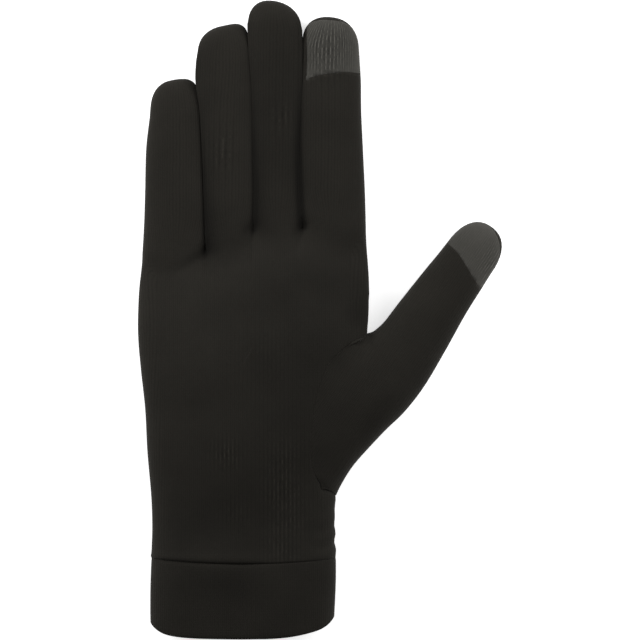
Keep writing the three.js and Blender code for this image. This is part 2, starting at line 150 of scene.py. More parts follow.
# The palm's sections: width, from the wrist's to the palm's, shift to the right and height
PALM = table(
    "along palm shift top",
    (0.00, 0.04, -0.044, 0.99),
    (0.10, 0.00, -0.044, 0.95),
    (0.20, 0.04, -0.044, 0.96),
    (0.35, 0.33, -0.031, 1.00),
    (0.49, 0.60, -0.013, 1.00),
    (0.63, 0.92, 0.000, 0.97),
    (0.74, 1.03, 0.000, 0.90),
    (0.85, 1.01, 0.000, 0.79),
    (0.92, 0.95, 0.000, 0.69),
    (1.00, 0.93, 0.000, 0.60),
)
# How the lines between and beside the fingers shift to the right on their way up
LINES = table(
    "up outer little_ring ring_middle middle_index inner",
    (-0.24, -0.006, 0.003, 0.000, 0.000, 0.006),
    (0.00, 0.008, 0.001, 0.001, -0.003, 0.002),
    (0.15, 0.013, -0.004, 0.005, -0.010, -0.002),
    (0.35, 0.018, -0.012, 0.002, -0.016, -0.011),
    (0.50, 0.035, -0.021, -0.001, -0.012, -0.018),
    (0.56, 0.044, -0.028, -0.003, -0.010, -0.019),
    (0.65, 0.054, -0.041, -0.006, -0.006, -0.020),
    (0.75, 0.074, -0.036, -0.015, -0.004, -0.026),
    (0.88, 0.074, -0.023, -0.022, -0.006, -0.033),
)
# Each finger's edges, and how its shoulder, tip and height are formed
FINGERS = table(
    "name left right straight lean slant root end rise roundness",
    ("little", "outer", "little_ring", 0.80, 0.03, -0.05, 0.95, 0.84, 0.0, 2.8),
    ("ring", "little_ring", "ring_middle", 0.85, 0.10, -0.10, 1.00, 0.88, 0.0, 2.8),
    ("middle", "ring_middle", "middle_index", 0.88, -0.05, 0.06, 1.00, 0.88, 1.0, 2.2),
    ("index", "middle_index", "inner", 0.85, 0.02, 0.05, 1.02, 0.87, 0.0, 2.35),
)
# The thumb's inner and outer edge and its height, from its opening to its shoulder
THUMB = table(
    "turn in_along in_across out_along out_across height",
    (0.0, 0.000, 0.000, -1.070, 0.880, 0.98),
    (1.0, 0.000, 0.005, -0.990, 0.870, 1.00),
    (2.0, 0.005, 0.010, -0.900, 0.870, 1.00),
    (3.0, 0.010, 0.020, -0.780, 0.890, 1.00),
    (4.0, 0.030, 0.040, -0.530, 0.970, 1.00),
    (5.0, 0.100, 0.080, -0.330, 1.055, 0.97),
    (6.0, 0.190, 0.092, -0.100, 1.085, 0.92),
    (7.0, 0.360, 0.120, 0.170, 1.050, 0.86),
    (8.0, 0.550, 0.155, 0.430, 1.000, 0.81),
    (9.0, 0.660, 0.180, 0.610, 0.985, 0.78),
    (10.0, 0.750, 0.195, 0.740, 0.975, 0.75),
)
THUMB_END = THUMB[-1]["turn"]
# Where the thumb's seam crosses the palm side
THUMB_SEAM = table(
    "along across",
    (0.228, 0.295),
    (0.269, 0.260),
    (0.330, 0.248),
    (0.395, 0.251),
    (0.470, 0.268),
    (0.539, 0.295),
    (0.599, 0.334),
    (0.641, 0.399),
    (0.653, 0.427),
)
CREASES = (
    # depth and width in millimetres, then points as shares of the palm's width and length
    (0.6, 1.5, ((-0.212, 0.935), (-0.225, 0.918), (-0.275, 0.898), (-0.340, 0.875), (-0.430, 0.860))),
    (0.45, 1.7, ((0.000, 1.010), (-0.018, 1.003), (-0.036, 0.984), (-0.050, 0.975))),
    (0.45, 1.7, ((0.216, 1.010), (0.205, 1.000), (0.190, 0.984), (0.171, 0.964))),
    (0.5, 1.2, ((0.216, 1.005), (0.230, 1.004), (0.246, 1.000))),
    (0.5, 1.3, ((0.507, 0.690), (0.500, 0.666), (0.492, 0.648))),
    (0.45, 1.1, ((0.282, 0.245), (0.318, 0.222), (0.345, 0.205))),
)

# Painted shade: where the palm side is painted darker, how wide the painted shade of each groove
# between two fingers is and how strong its soft side is; and where the knit is pulled open so that its ribs
# show
SHADES = table(
    "across along wide long strength",
    (0.447, 0.744, 0.061, 0.048, 0.42),
    (-0.085, 0.140, 0.330, 0.140, 0.26),
    (-0.120, -0.060, 0.170, 0.060, 0.45),
    (0.200, 0.550, 0.330, 0.400, 0.27),
    (0.306, 0.845, 0.180, 0.120, 0.30),
    (0.124, 1.340, 0.100, 0.280, 0.38),
    # This row paints shade on the index finger's patch, so that only the thumb's patch looks lit
    (0.320, 1.541, 0.160, 0.110, 0.32),
)
GROOVE_SHADES = table(
    "line left right tail",
    ("little_ring", 0.9 * MM, 1.5 * MM, 0.55),
    ("ring_middle", 0.9 * MM, 1.8 * MM, 0.45),
    ("middle_index", 1.8 * MM, 1.2 * MM, 0.00),
)
OPEN_RIBS = table(
    "across along wide long strength",
    (0.129, 0.200, 0.080, 0.190, 1.00),
    (-0.115, 0.321, 0.060, 0.045, 0.80),
    (-0.072, 0.157, 0.060, 0.040, 0.80),
    (0.067, 0.591, 0.130, 0.100, 0.25),
    (0.124, 1.325, 0.040, 0.036, 0.80),
    (-0.142, 1.235, 0.048, 0.060, 0.60),
    (0.320, 1.541, 0.100, 0.090, 1.00),
    (1.026, 0.900, 0.045, 0.050, 1.00),
)


def mix(a, b, share):
    return a + (b - a) * share


def smooth(share):
    share = min(max(share, 0.0), 1.0)
    return share * share * (3 - 2 * share)


def fade(at, start, end, before, after):
    """A value that changes softly from before to after between two places."""
    return mix(before, after, smooth((at - start) / (end - start)))


def hill(off, reach):
    """1 in the middle, falling softly to nothing at about twice the reach."""
    return math.exp(-((off / reach) ** 2))


def lookup(rows, key, at, column):
    """A column's value where the key column reaches at, on a smooth curve through the rows."""
    spots = [row[key] for row in rows]
    values = [row[column] for row in rows]
    at = min(max(at, spots[0]), spots[-1])
    last = len(rows) - 1
    i = max(k for k in range(last) if spots[k] <= at)

    def slope(k):
        low, high = max(k - 1, 0), min(k + 1, last)
        return (values[high] - values[low]) / (spots[high] - spots[low])

    span = spots[i + 1] - spots[i]
    t = (at - spots[i]) / span
    rest = 1 - t
    return (
        values[i] * (1 + 2 * t) * rest * rest
        + slope(i) * span * t * rest * rest
        + values[i + 1] * t * t * (3 - 2 * t)
        - slope(i + 1) * span * t * t * rest
    )


def rounded(part, roundness=ROUNDNESS):
    """A cosine or a sine, bent from the circle's to that of a rounder box."""
    return math.copysign(abs(part) ** (2 / roundness), part)


def on_section(angle, roundness=ROUNDNESS):
    """Where an angle lies on a rounded section, from -1 to 1 across and up."""
    return rounded(math.cos(angle), roundness), rounded(math.sin(angle), roundness)


def section_angle(column, front, corner):
    """A column's angle on a section: along the front, the right side, the back and the left side."""
    stops = (math.pi - corner, corner, -corner, corner - math.pi, -corner - math.pi)
    counts = (front, SIDE_COLUMNS, front, SIDE_COLUMNS)
    k = 0
    while column > counts[k]:
        column -= counts[k]
        k += 1
    return mix(stops[k], stops[k + 1], column / counts[k])


def resting(z, floor=0.0):
    """A height that settles softly on the floor instead of passing through it."""
    drop = z - floor
    return floor + (drop + math.sqrt(drop * drop + SETTLING ** 2)) / 2


class GloveForm:
    """The curves that the glove's skin follows, worked out from the sizes in the panel."""

    def __init__(self, sizes):
        self.size = sizes
        self.origin = Vector((
            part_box("hand_shell")[0].x + sizes.palm_width / 2,
            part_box("cuff_hem")[0].y,
            0,
        ))
        self.knuckles = sizes.hem_height + sizes.palm_length
        widths = [getattr(sizes, finger["name"] + "_width") for finger in FINGERS]
        x = -sum(widths) / 2
        self.starts = {"outer": x}
        for finger, width in zip(FINGERS, widths):
            x += width
            self.starts[finger["right"]] = x
        self.forks = {
            "outer": self.knuckles - sizes.little_drop,
            "little_ring": self.knuckles - sizes.little_drop,
            "ring_middle": self.knuckles - sizes.ring_drop,
            "middle_index": self.knuckles,
            "inner": self.knuckles,
        }
        self.side = rounded(math.cos(PALM_SIDE))
        self.finger_side = rounded(math.cos(FINGER_SIDE), FINGER_ROUNDNESS)
        self.pressed_side = rounded(math.cos(FINGER_PRESS), FINGER_ROUNDNESS)
        self.fractions = self.front_fractions()

    def line(self, name, y):
        up = (y - self.knuckles) / self.size.middle_length
        return self.starts[name] + lookup(LINES, "up", up, name) * self.size.palm_width

    def shares(self, point):
        """Where a point lies across the palm and along it, as shares of its width and length."""
        along = (point.y - self.size.hem_height) / self.size.palm_length
        return point.x / self.size.palm_width, along

    # The fingers

    def finger_shoulder(self, finger):
        fork = self.forks[finger["right"]]
        length = getattr(self.size, finger["name"] + "_length")
        return fork + length * finger["straight"], fork + length

    def finger_unit(self, finger, column, fullness):
        """Where a column stands on a finger's section. Sides that meet a neighbour are flat."""
        angle = section_angle(column, FINGER_COLUMNS, FINGER_SIDE)
        u, v = on_section(angle, FINGER_ROUNDNESS)
        meets = finger["right"] != "inner" if u > 0 else finger["left"] != "outer"
        return (min(max(u / fullness, -1.0), 1.0) if meets else u), v

    def finger_slant(self, finger):
        """How far the left end of a finger's last row lies above its middle."""
        return finger["slant"] * getattr(self.size, finger["name"] + "_width")

    def finger_point(self, finger, column, share):
        """A point of a finger between its fork, share 0, and its shoulder, share 1."""
        size = self.size
        u = math.cos(section_angle(column, FINGER_COLUMNS, FINGER_SIDE))
        fork = mix(self.forks[finger["left"]], self.forks[finger["right"]], (u + 1) / 2)
        shoulder, _ = self.finger_shoulder(finger)
        free = smooth(share * (shoulder - fork) / FORK_BLEND)
        u, v = self.finger_unit(finger, column, mix(self.finger_side, self.pressed_side, free))
        y = mix(fork, shoulder - self.finger_slant(finger) * u, share)
        left, right = self.line(finger["left"], y), self.line(finger["right"], y)
        if finger["left"] != "outer":
            left -= FINGER_LAP * free
        if finger["right"] != "inner":
            right += FINGER_LAP * free
        tall = mix(finger["root"], finger["end"], share) * size.finger_height / 2
        low = finger["rise"] * size.middle_rise - size.rest_flat
        return Vector((mix(left, right, (u + 1) / 2), y, low + tall + tall * v))

    def fork_point(self, k, column):
        """A point of the ring where a finger starts, at the mean height where two fingers meet."""
        point = self.finger_point(FINGERS[k], column, 0.0)
        front, side = FINGER_COLUMNS, SIDE_COLUMNS
        if k < LAST_FINGER and front <= column <= front + side:
            twin = 2 * front + 2 * side - (column - front)
            point.z = (point.z + self.finger_point(FINGERS[k + 1], twin, 0.0).z) / 2
        if k > 0 and (column == 0 or column >= 2 * front + side):
            twin = front if column == 0 else 3 * front + 2 * side - column
            point.z = (point.z + self.finger_point(FINGERS[k - 1], twin, 0.0).z) / 2
        return point

    # The palm

    def front_fractions(self):
        """Where each front column lies between the two sides, as a share of the way across."""
        columns = range(FRONT_COLUMNS + 1)
        across = [self.fork_point(*self.fork_column(c)).x for c in columns]
        return [(x - across[0]) / (across[-1] - across[0]) for x in across]

    def palm_share(self, row):
        """The share of the palm's length at a row. The thumb's opening has its own rows."""
        low, high = self.size.thumb_opening_low, self.size.thumb_opening_high
        if row <= WRIST_ROWS:
            return low * (row / WRIST_ROWS) ** WRIST_CROWDING
        if row <= THUMB_TOP:
            return mix(low, high, (row - WRIST_ROWS) / THUMB_ROWS)
        return mix(high, 1.0, (row - THUMB_TOP) / KNUCKLE_ROWS)

    def palm_section(self, share):
        """The middle, half width, level and half height of the palm's section."""
        width = mix(self.size.wrist_width, self.size.palm_width, lookup(PALM, "along", share, "palm"))
        centre = lookup(PALM, "along", share, "shift") * self.size.palm_width
        top = lookup(PALM, "along", share, "top") * self.size.palm_height
        tall = (top + self.size.rest_flat) / 2
        return centre, width / 2, top - tall, tall

    def ring_unit(self, column, right=None):
        """Where a column stands on a section of the palm, from -1 to 1 across and up."""
        if FRONT_COLUMNS < column < BACK_START or column > BACK_END:
            return on_section(section_angle(column, FRONT_COLUMNS, PALM_SIDE))
        if column <= FRONT_COLUMNS:
            u = mix(-self.side, self.side if right is None else right, self.fractions[column])
        else:
            u = mix(-self.side, self.side, self.fractions[BACK_END - column])
        v = (1 - abs(u) ** ROUNDNESS) ** (1 / ROUNDNESS)
        return u, v if column <= FRONT_COLUMNS else -v

    def fork_column(self, column):
        """The finger, and its column, that a palm column runs on into."""
        front, side = FINGER_COLUMNS, SIDE_COLUMNS
        if column <= FRONT_COLUMNS:
            k = min(column // front, LAST_FINGER)
            return k, column - k * front
        if column <= BACK_START:
            return LAST_FINGER, front + column - FRONT_COLUMNS
        if column <= BACK_END:
            passed = column - BACK_START
            k = min(passed // front, LAST_FINGER)
            return LAST_FINGER - k, front + side + passed - k * front
        return 0, 2 * front + side + column - BACK_END

    def palm_point(self, row, column):
        size = self.size
        share = self.palm_share(row)
        centre, half, level, tall = self.palm_section(share)
        k, own = self.fork_column(column)
        fork = self.fork_point(k, own)
        u, v = self.ring_unit(column)
        hem = size.hem_height + size.seam_gap + size.seam_scoop * (1 - v * v)
        y = mix(hem, fork.y, share) + self.thumb_bulge(row, column)
        if column <= FRONT_COLUMNS:
            u, v = self.ring_unit(column, self.thumb_side(row, centre, half))
        point = Vector((centre + half * u, y, level + tall * v))
        near = smooth(1 - (1 - share) * size.palm_length / KNUCKLE_BLEND)
        return point.lerp(Vector((fork.x, y, fork.z)), near)

    def thumb_side(self, row, centre, half):
        """Where the palm's front ends on the right: at the thumb's seam, or else at its side."""
        near = min(max(row, WRIST_ROWS), THUMB_TOP)
        share = self.palm_share(near)
        y = mix(self.size.hem_height + self.size.seam_gap, self.knuckles, share)
        _, along = self.shares(Vector((0, y)))
        seam = (lookup(THUMB_SEAM, "along", along, "across") * self.size.palm_width - centre) / half
        return mix(seam, self.side, smooth(abs(row - near) / SEAM_FADE_ROWS))

    def thumb_bulge(self, row, column):
        """The thumb's opening reaches round the side of the palm further than its corners do."""
        if not FRONT_COLUMNS <= column <= BACK_START:
            return 0.0
        round_side = math.cos(math.pi * ((column - FRONT_COLUMNS) / SIDE_COLUMNS - 0.5)) ** 2
        above = smooth(1 - abs(row - THUMB_TOP) / FORK_RISE_ROWS) * self.size.fork_rise
        under = smooth(1 - abs(row - WRIST_ROWS) / HEEL_DROP_ROWS) * self.size.heel_drop
        return round_side * (above - under)

    # The thumb

    def thumb_frame(self):
        """The thumb's fork, the way up the thumb and the way across it."""
        angle = self.size.thumb_angle
        axis = Vector((math.cos(angle), math.sin(angle), 0))
        aside = Vector((axis.y, -axis.x, 0))
        fork = Vector((
            self.size.thumb_offset,
            self.size.hem_height + self.size.thumb_fork * self.size.palm_length,
            0,
        ))
        return fork, axis, aside

    def on_thumb(self, along, across):
        fork, axis, aside = self.thumb_frame()
        reach = along * (self.size.thumb_length if along > 0 else self.size.thumb_base)
        return fork + axis * reach + aside * (across * self.size.thumb_width)

    def thumb_section(self, turn):
        """The middle, half width, level and half height of a section of the thumb."""
        def at(column):
            return lookup(THUMB, "turn", turn, column)

        inner = self.on_thumb(at("in_along"), at("in_across"))
        outer = self.on_thumb(at("out_along"), at("out_across"))
        tall = at("height") * self.size.thumb_height / 2
        return (inner + outer) / 2, (outer - inner) / 2, tall - self.size.rest_flat, tall

    def thumb_opening(self, column):
        """The ring on the palm that the thumb grows from."""
        if column <= THUMB_ROWS:
            return self.palm_point(THUMB_TOP - column, FRONT_COLUMNS)
        column -= THUMB_ROWS
        if column <= SIDE_COLUMNS:
            return self.palm_point(WRIST_ROWS, FRONT_COLUMNS + column)
        column -= SIDE_COLUMNS
        if column <= THUMB_ROWS:
            return self.palm_point(WRIST_ROWS + column, BACK_START)
        return self.palm_point(THUMB_TOP, BACK_START + THUMB_ROWS - column)

    def placed(self, point):
        return Vector((point.x, point.y, resting(point.z))) + self.origin


# Growing a skin

def first_ring(mesh, points):
    """A circle of vertices moved to the points of the first ring."""
    made = bmesh.ops.create_circle(mesh, cap_ends=False, radius=1.0, segments=len(points))
    ring = ordered(made["verts"])
    for vertex, point in zip(ring, points):
        vertex.co = point
    return ring


def ordered(vertices):
    """The vertices of one closed ring, one after the other."""
    first = vertices[0]
    ring, before = [first], None
    while len(ring) < len(vertices):
        here = ring[-1]
        step = [e.other_vert(here) for e in here.link_edges if e.other_vert(here) is not before]
        before = here
        ring.append(step[0])
    return ring


def grown(mesh, ring, points, closed=True):
    """Extrudes a ring, or an open row, to new points and gives the new vertices in order."""
    pairs = list(zip(ring, ring[1:] + ring[:1])) if closed else list(zip(ring, ring[1:]))
    edges = [mesh.edges.get(pair) for pair in pairs]
    made = bmesh.ops.extrude_edge_only(mesh, edges=edges)["geom"]
    fresh = {item for item in made if isinstance(item, bmesh.types.BMVert)}
    after = []
    for vertex, point in zip(ring, points):
        twin = next(e.other_vert(vertex) for e in vertex.link_edges if e.other_vert(vertex) in fresh)
        twin.co = point
        after.append(twin)
    return after


def bridge(mesh, start, end, points):
    """A chain of vertices drawn out from start over the points, and joined to end."""
    chain = [start]
    for point in points:
        made = bmesh.ops.extrude_vert_indiv(mesh, verts=[chain[-1]])["verts"][0]
        made.co = point
        chain.append(made)
    mesh.edges.new((chain[-1], end))
    return chain[1:]


def close_tip(mesh, ring, point):
    """Draws the last ring of a finger together in one point."""
    tip = grown(mesh, ring, [point] * len(ring))
    bmesh.ops.pointmerge(mesh, verts=tip, merge_co=point)


def tag(layers, vertices, wales, courses):
    """Keeps where each vertex lies in the cloth: across the wales and along the courses."""
    for vertex, wale, course in zip(vertices, wales, courses):
        vertex[layers[0]] = wale
        vertex[layers[1]] = course


def rounded_tip(mesh, layers, ring, tip, unit, start):
    """The rounded end of a finger or of the thumb, with the cloth's rows carried over it.

    unit gives where a column stands on the section when the tip has climbed so far.
    """
    wales = [vertex[layers[0]] for vertex in ring]
    middle_wale = sum(wales) / len(wales)
    across = tip.half.normalized()
    reach = tip.end - tip.centre
    aside = across * reach.dot(across)
    ahead = reach - aside
    slope = tip.half - ahead.normalized() * tip.slant
    for step in range(1, TIP_ROWS + 1):
        turn = step / (TIP_ROWS + TIP_GAP) * math.pi / 2
        climb, shrink = (rounded(part(turn), tip.roundness) for part in (math.sin, math.cos))
        middle = tip.centre + ahead * climb + aside * (1 - shrink)
        middle.z = tip.level * mix(1, TIP_SAG, climb)
        points = []
        for column in range(len(ring)):
            u, v = unit(column, climb)
            points.append(middle + slope * (u * shrink) + Vector((0, 0, tip.tall * shrink * v)))
        ring = grown(mesh, ring, points)
        course = start + ahead.length * turn
        narrowed = [mix(middle_wale, wale, (1 + shrink) / 2) for wale in wales]
        tag(layers, ring, narrowed, [course] * len(ring))
    close_tip(mesh, ring, tip.end + Vector((0, 0, tip.level * TIP_SAG)))


def cloth_layers(mesh):
    """Layers for each vertex's place in the cloth, its shade and how far its ribs are open."""
    for name in ("wale", "course", "shade", "open"):
        mesh.verts.layers.float.new(name)
    return mesh.verts.layers.float["wale"], mesh.verts.layers.float["course"]


def grow_hand(form):
    """The palm with its open wrist, its opening for the thumb and the four fingers."""
    mesh = bmesh.new()
    layers = cloth_layers(mesh)
    part = mesh.faces.layers.int.new("part")
    columns = range(RING_COLUMNS)
    ring = first_ring(mesh, [form.palm_point(0, c) for c in columns])
    tag_palm(form, layers, ring, 0, columns)
    hidden = range(FRONT_COLUMNS + 1, BACK_START)
    shown = [c % RING_COLUMNS for c in range(BACK_START, RING_COLUMNS + FRONT_COLUMNS + 1)]
    for row in range(1, THUMB_TOP + KNUCKLE_ROWS + 1):
        if not WRIST_ROWS < row <= THUMB_TOP:
            ring = grown(mesh, ring, [form.palm_point(row, c) for c in columns])
            tag_palm(form, layers, ring, row, columns)
            continue
        points = [form.palm_point(row, c) for c in shown]
        line = grown(mesh, [ring[c] for c in shown], points, closed=False)
        tag_palm(form, layers, line, row, shown)
        ring = [None] * RING_COLUMNS
        for column, vertex in zip(shown, line):
            ring[column] = vertex
        if row == THUMB_TOP:
            points = [form.palm_point(row, c) for c in hidden]
            chain = bridge(mesh, ring[FRONT_COLUMNS], ring[BACK_START], points)
            tag_palm(form, layers, chain, row, hidden)
            ring[hidden.start:hidden.stop] = chain
    grow_fingers(form, mesh, layers, part, ring)
    return mesh


def tag_palm(form, layers, vertices, row, columns):
    """On the palm and the back the wales run along Y, and round the side they follow the cloth."""
    _, half, _, tall = form.palm_section(form.palm_share(row))
    top = rounded(math.sin(PALM_SIDE))
    wales = []
    for vertex, column in zip(vertices, columns):
        u, v = form.ring_unit(column)
        wale = vertex.co.x
        if abs(u) > form.side:
            round_side = (1 - min(abs(v) / top, 1)) * tall * ROUND_PALM
            wale += math.copysign(form.side * half + round_side, u) - u * half
        wales.append(wale)
    tag(layers, vertices, wales, [v.co.y for v in vertices])


def grow_fingers(form, mesh, layers, part, ring):
    """Webs join the palm to the back between the fingers, and each finger grows from its ring."""
    front = FINGER_COLUMNS
    webs = []
    for k in range(LAST_FINGER):
        points = [form.fork_point(k, front + step) for step in range(1, SIDE_COLUMNS)]
        web = bridge(mesh, ring[(k + 1) * front], ring[BACK_END - (k + 1) * front], points)
        tag(layers, web, [v.co.x for v in web], [v.co.y for v in web])
        webs.append(web)
    left_side = ring[BACK_END + 1:]
    right_side = ring[FRONT_COLUMNS + 1:BACK_START]
    for k, finger in enumerate(FINGERS):
        upper = ring[k * front:(k + 1) * front + 1]
        lower = ring[BACK_END - (k + 1) * front:BACK_END - k * front + 1]
        right = webs[k] if k < LAST_FINGER else right_side
        left = webs[k - 1][::-1] if k > 0 else left_side
        grow_finger(form, mesh, layers, part, finger, upper + right + lower + left)


def grow_finger(form, mesh, layers, part, finger, ring):
    """One finger, from its fork to its shoulder in rows, and then its rounded tip."""
    size = form.size
    columns = range(len(ring))
    shoulder, top = form.finger_shoulder(finger)
    fork = form.forks[finger["right"]]
    rows = round((shoulder - fork) / ROW_STEP)
    before = set(mesh.faces)
    for row in range(1, rows + 1):
        share = row / rows
        ring = grown(mesh, ring, [form.finger_point(finger, c, share) for c in columns])
        wales = finger_wales(ring, share * (shoulder - fork))
        tag(layers, ring, wales, [v.co.y for v in ring])
    low = finger["rise"] * size.middle_rise - size.rest_flat
    tall = finger["end"] * size.finger_height / 2
    left, right = form.line(finger["left"], shoulder), form.line(finger["right"], shoulder)
    centre = Vector(((left + right) / 2, shoulder, 0))
    width = getattr(size, finger["name"] + "_width")
    tip = Tip(
        centre, Vector(((right - left) / 2, 0, 0)), low + tall, tall,
        Vector((centre.x + finger["lean"] * width, top, 0)),
        finger["roundness"], form.finger_slant(finger),
    )

    def unit(column, climb):
        return form.finger_unit(finger, column, mix(form.pressed_side, 1.0, smooth(climb)))

    rounded_tip(mesh, layers, ring, tip, unit, shoulder)
    if finger["name"] == "index":
        mark_patch(mesh, part, set(mesh.faces) - before, lambda point: index_patch_side(form, point))


def finger_wales(ring, climbed):
    """Near the fork the wales run on from the palm, and further up they go round the finger."""
    left, right = min(v.co.x for v in ring), max(v.co.x for v in ring)
    middle, half = (left + right) / 2, (right - left) / 2
    turned = smooth(climbed / WALES_REACH) * WALES_TURN
    wales = []
    for column, vertex in enumerate(ring):
        angle = section_angle(column, FINGER_COLUMNS, FINGER_SIDE)
        off = vertex.co.x - middle
        round_finger = math.copysign(abs(math.pi / 2 - abs(angle % math.pi)), off) * half * ROUND_FINGER
        wales.append(mix(off, round_finger, turned) + middle)
    return wales


# The parts of a skin
BLACK = 0
GREY = 1

# The patches' lower edges, across the finger
INDEX_PATCH_LINE = table(
    "across ahead",
    (0.00, -0.110),
    (0.10, -0.096),
    (0.25, -0.050),
    (0.39, -0.025),
    (0.65, 0.011),
    (1.00, -0.012),
)
THUMB_PATCH_LINE = table(
    "across ahead",
    (-0.10, 0.14),
    (0.20, 0.17),
    (0.40, 0.12),
    (0.60, 0.00),
    (0.80, -0.14),
    (0.95, -0.23),
    (1.20, -0.32),
)


def patch_rise(short_of_tip):
    """How far a patch's edge lies above the middle of the finger. It climbs towards the tip."""
    return PATCH_ABOVE + PATCH_RISE * smooth(1 - short_of_tip / PATCH_SLOPE)


def index_patch_side(form, point):
    """How far a point lies inside the index finger's patch. Outside it this is below zero."""
    finger = FINGERS[-1]
    size = form.size
    _, top = form.finger_shoulder(finger)
    aside = point.x - form.line("middle_index", point.y)
    ahead = lookup(INDEX_PATCH_LINE, "across", aside / size.index_width, "ahead")
    start = top - size.index_patch_length * (1 - ahead)
    level = finger["end"] * size.finger_height / 2 - size.rest_flat + patch_rise(top - point.y)
    return min(point.y - start, aside - size.index_patch_inset, point.z - level)


def thumb_patch_side(form, rim, point):
    """How far a point lies inside the thumb's patch, which ends short of the thumb's outer rim."""
    size = form.size
    fork, axis, aside = form.thumb_frame()
    flat = Vector((point.x, point.y, 0)) - fork
    ahead = lookup(THUMB_PATCH_LINE, "across", flat.dot(aside) / size.thumb_width, "ahead")
    start = size.thumb_length - size.thumb_patch_length * (1 - ahead)
    _, _, level, _ = form.thumb_section(THUMB_END)
    level += patch_rise(rim - flat.dot(axis + aside))
    return min(flat.dot(axis) - start, point.z - level)


def mark_patch(mesh, part, faces, side):
    """Cuts the skin along the patch's edge, where side is zero, and marks the faces inside it."""
    fresh = []
    for edge in {edge for face in faces for edge in face.edges}:
        start, end = edge.verts
        near, far = side(start.co), side(end.co)
        if near * far < 0:
            fresh.append(bmesh.utils.edge_split(edge, start, near / (near - far))[1])
    bmesh.ops.connect_verts(mesh, verts=fresh)
    touched = faces | {face for vertex in fresh for face in vertex.link_faces}
    for face in touched:
        if side(face.calc_center_median()) > 0:
            face[part] = GREY


def grow_thumb(form):
    """The thumb grows out of its opening in the palm, turns to its own axis and ends rounded."""
    mesh = bmesh.new()
    layers = cloth_layers(mesh)
    part = mesh.faces.layers.int.new("part")
    count = 2 * THUMB_ROWS + 2 * SIDE_COLUMNS
    opening = [form.thumb_opening(c) for c in range(count)]
    units = [on_section(section_angle(c, THUMB_ROWS, THUMB_SIDE)) for c in range(count)]
    ring = first_ring(mesh, opening)
    tag_thumb(form, layers, ring)
    for step in range(1, THUMB_STEPS + 1):
        turn = THUMB_END * (step / THUMB_STEPS) ** THUMB_CROWDING
        centre, half, level, tall = form.thumb_section(turn)
        free = smooth(step / THUMB_FREE_STEPS)
        points = []
        for start, (u, v) in zip(opening, units):
            point = centre + half * u
            point.z = level + tall * v
            points.append(start.lerp(point, free))
        ring = grown(mesh, ring, points)
        tag_thumb(form, layers, ring)
    fork, axis, aside = form.thumb_frame()
    end = form.on_thumb(1.0, form.size.thumb_tip_across)
    tip = Tip(centre, half, level, tall, end, THUMB_TIP_ROUNDNESS, 0.0)
    rounded_tip(mesh, layers, ring, tip, lambda column, climb: units[column], centre.dot(axis))
    rim = max((vertex.co - fork).dot(axis + aside) for vertex in mesh.verts)
    mark_patch(mesh, part, set(mesh.faces), lambda point: thumb_patch_side(form, rim, point))
    return mesh


def tag_thumb(form, layers, ring):
    """The thumb's wales run along its axis."""
    _, axis, aside = form.thumb_frame()
    middle = form.on_thumb(*THUMB_MIDDLE)
    flat = [Vector((v.co.x, v.co.y, 0)) for v in ring]
    tag(layers, ring, [(spot - middle).dot(aside) for spot in flat], [spot.dot(axis) for spot in flat])


# Finishing a skin

# Over how much of its end a crease fades, and how much painted shade a crease and a seam add
CREASE_END = 0.4
CREASE_SHADE = 0.6
SEAM_SHADE = 0.15

# The painted shade of a groove between two fingers: how far it has come in at its fork, how fast
# it comes in above that, how strong it is at the fork and at the tip, and how wide its soft side is
GROOVE_START = 0.55
GROOVE_CLIMB = 14
GROOVE_STRENGTHS = (1.6, 0.3)
GROOVE_TAIL = 4.5 * MM

# Loose cloth: dents in a metre, height and shift of each layer, then hollows and folds whose
# strength is a height in millimetres
DENTS = (
    (38, 0.45 * MM, Vector((0, 0, 0))),
    (95, 0.16 * MM, Vector((7, 3, 1))),
)
HOLLOWS = table("across along wide long strength", (0.46, 0.74, 0.0694, 0.0555, 0.5))
FOLDS = table("across along wide long strength", (0.33, 0.0713, 0.0579, 0.0555, 0.4))
PALM_SIDE_ABOVE = 9 * MM
FOLD_PITCH = 6.5 * MM
FOLD_LEAN = 260
PUFF_ABOVE = 2.2 * MM
PUFF_REACH = 1.5 * MM
PUFF_HEIGHT = 0.3 * MM

# Changes from one place to another: start, end, value before and value after. The first three
# run across the palm, in shares of its width, and the heel's runs along it
PUFF_FADE = (-0.1389, 0.1389, 1.0, 0.25)
HEM_SEAM_LEFT = (-0.43, -0.3721, 0.3, 1.0)
HEM_SEAM_RIGHT = (-0.0231, 0.1389, 0.6, 0.15)
HEEL_SEAM = (0.22, 0.28, 0.8, 0.1)
PATCH_SEAM = 0.3

# The hem's seam lies below a share of the palm's length, and the thumb's to the right of a
# share of its width. The upper seams are drawn in towards a middle near their own place
HEM_SEAM_TOP = 0.06
THUMB_SEAM_LEFT = 0.2
UPPER_SEAMS = 0.2
UPPER_MIDDLE = 0.9


def crease_depth(form, point):
    """How deep the creases press the cloth in at a point of the palm side, in millimetres."""
    size = form.size
    spot = Vector((point.x, point.y))
    depth = 0.0
    for deep, wide, corners in CREASES:
        nodes = [
            Vector((x * size.palm_width, size.hem_height + y * size.palm_length)) for x, y in corners
        ]
        nearest, passed = math.inf, 0
        for i, (start, end) in enumerate(zip(nodes, nodes[1:])):
            along = end - start
            share = min(max((spot - start).dot(along) / along.length_squared, 0.0), 1.0)
            gap = (spot - start - along * share).length
            if gap < nearest:
                nearest, passed = gap, (i + share) / (len(nodes) - 1)
        depth += deep * smooth((1 - passed) / CREASE_END) * hill(nearest, wide * MM)
    return depth


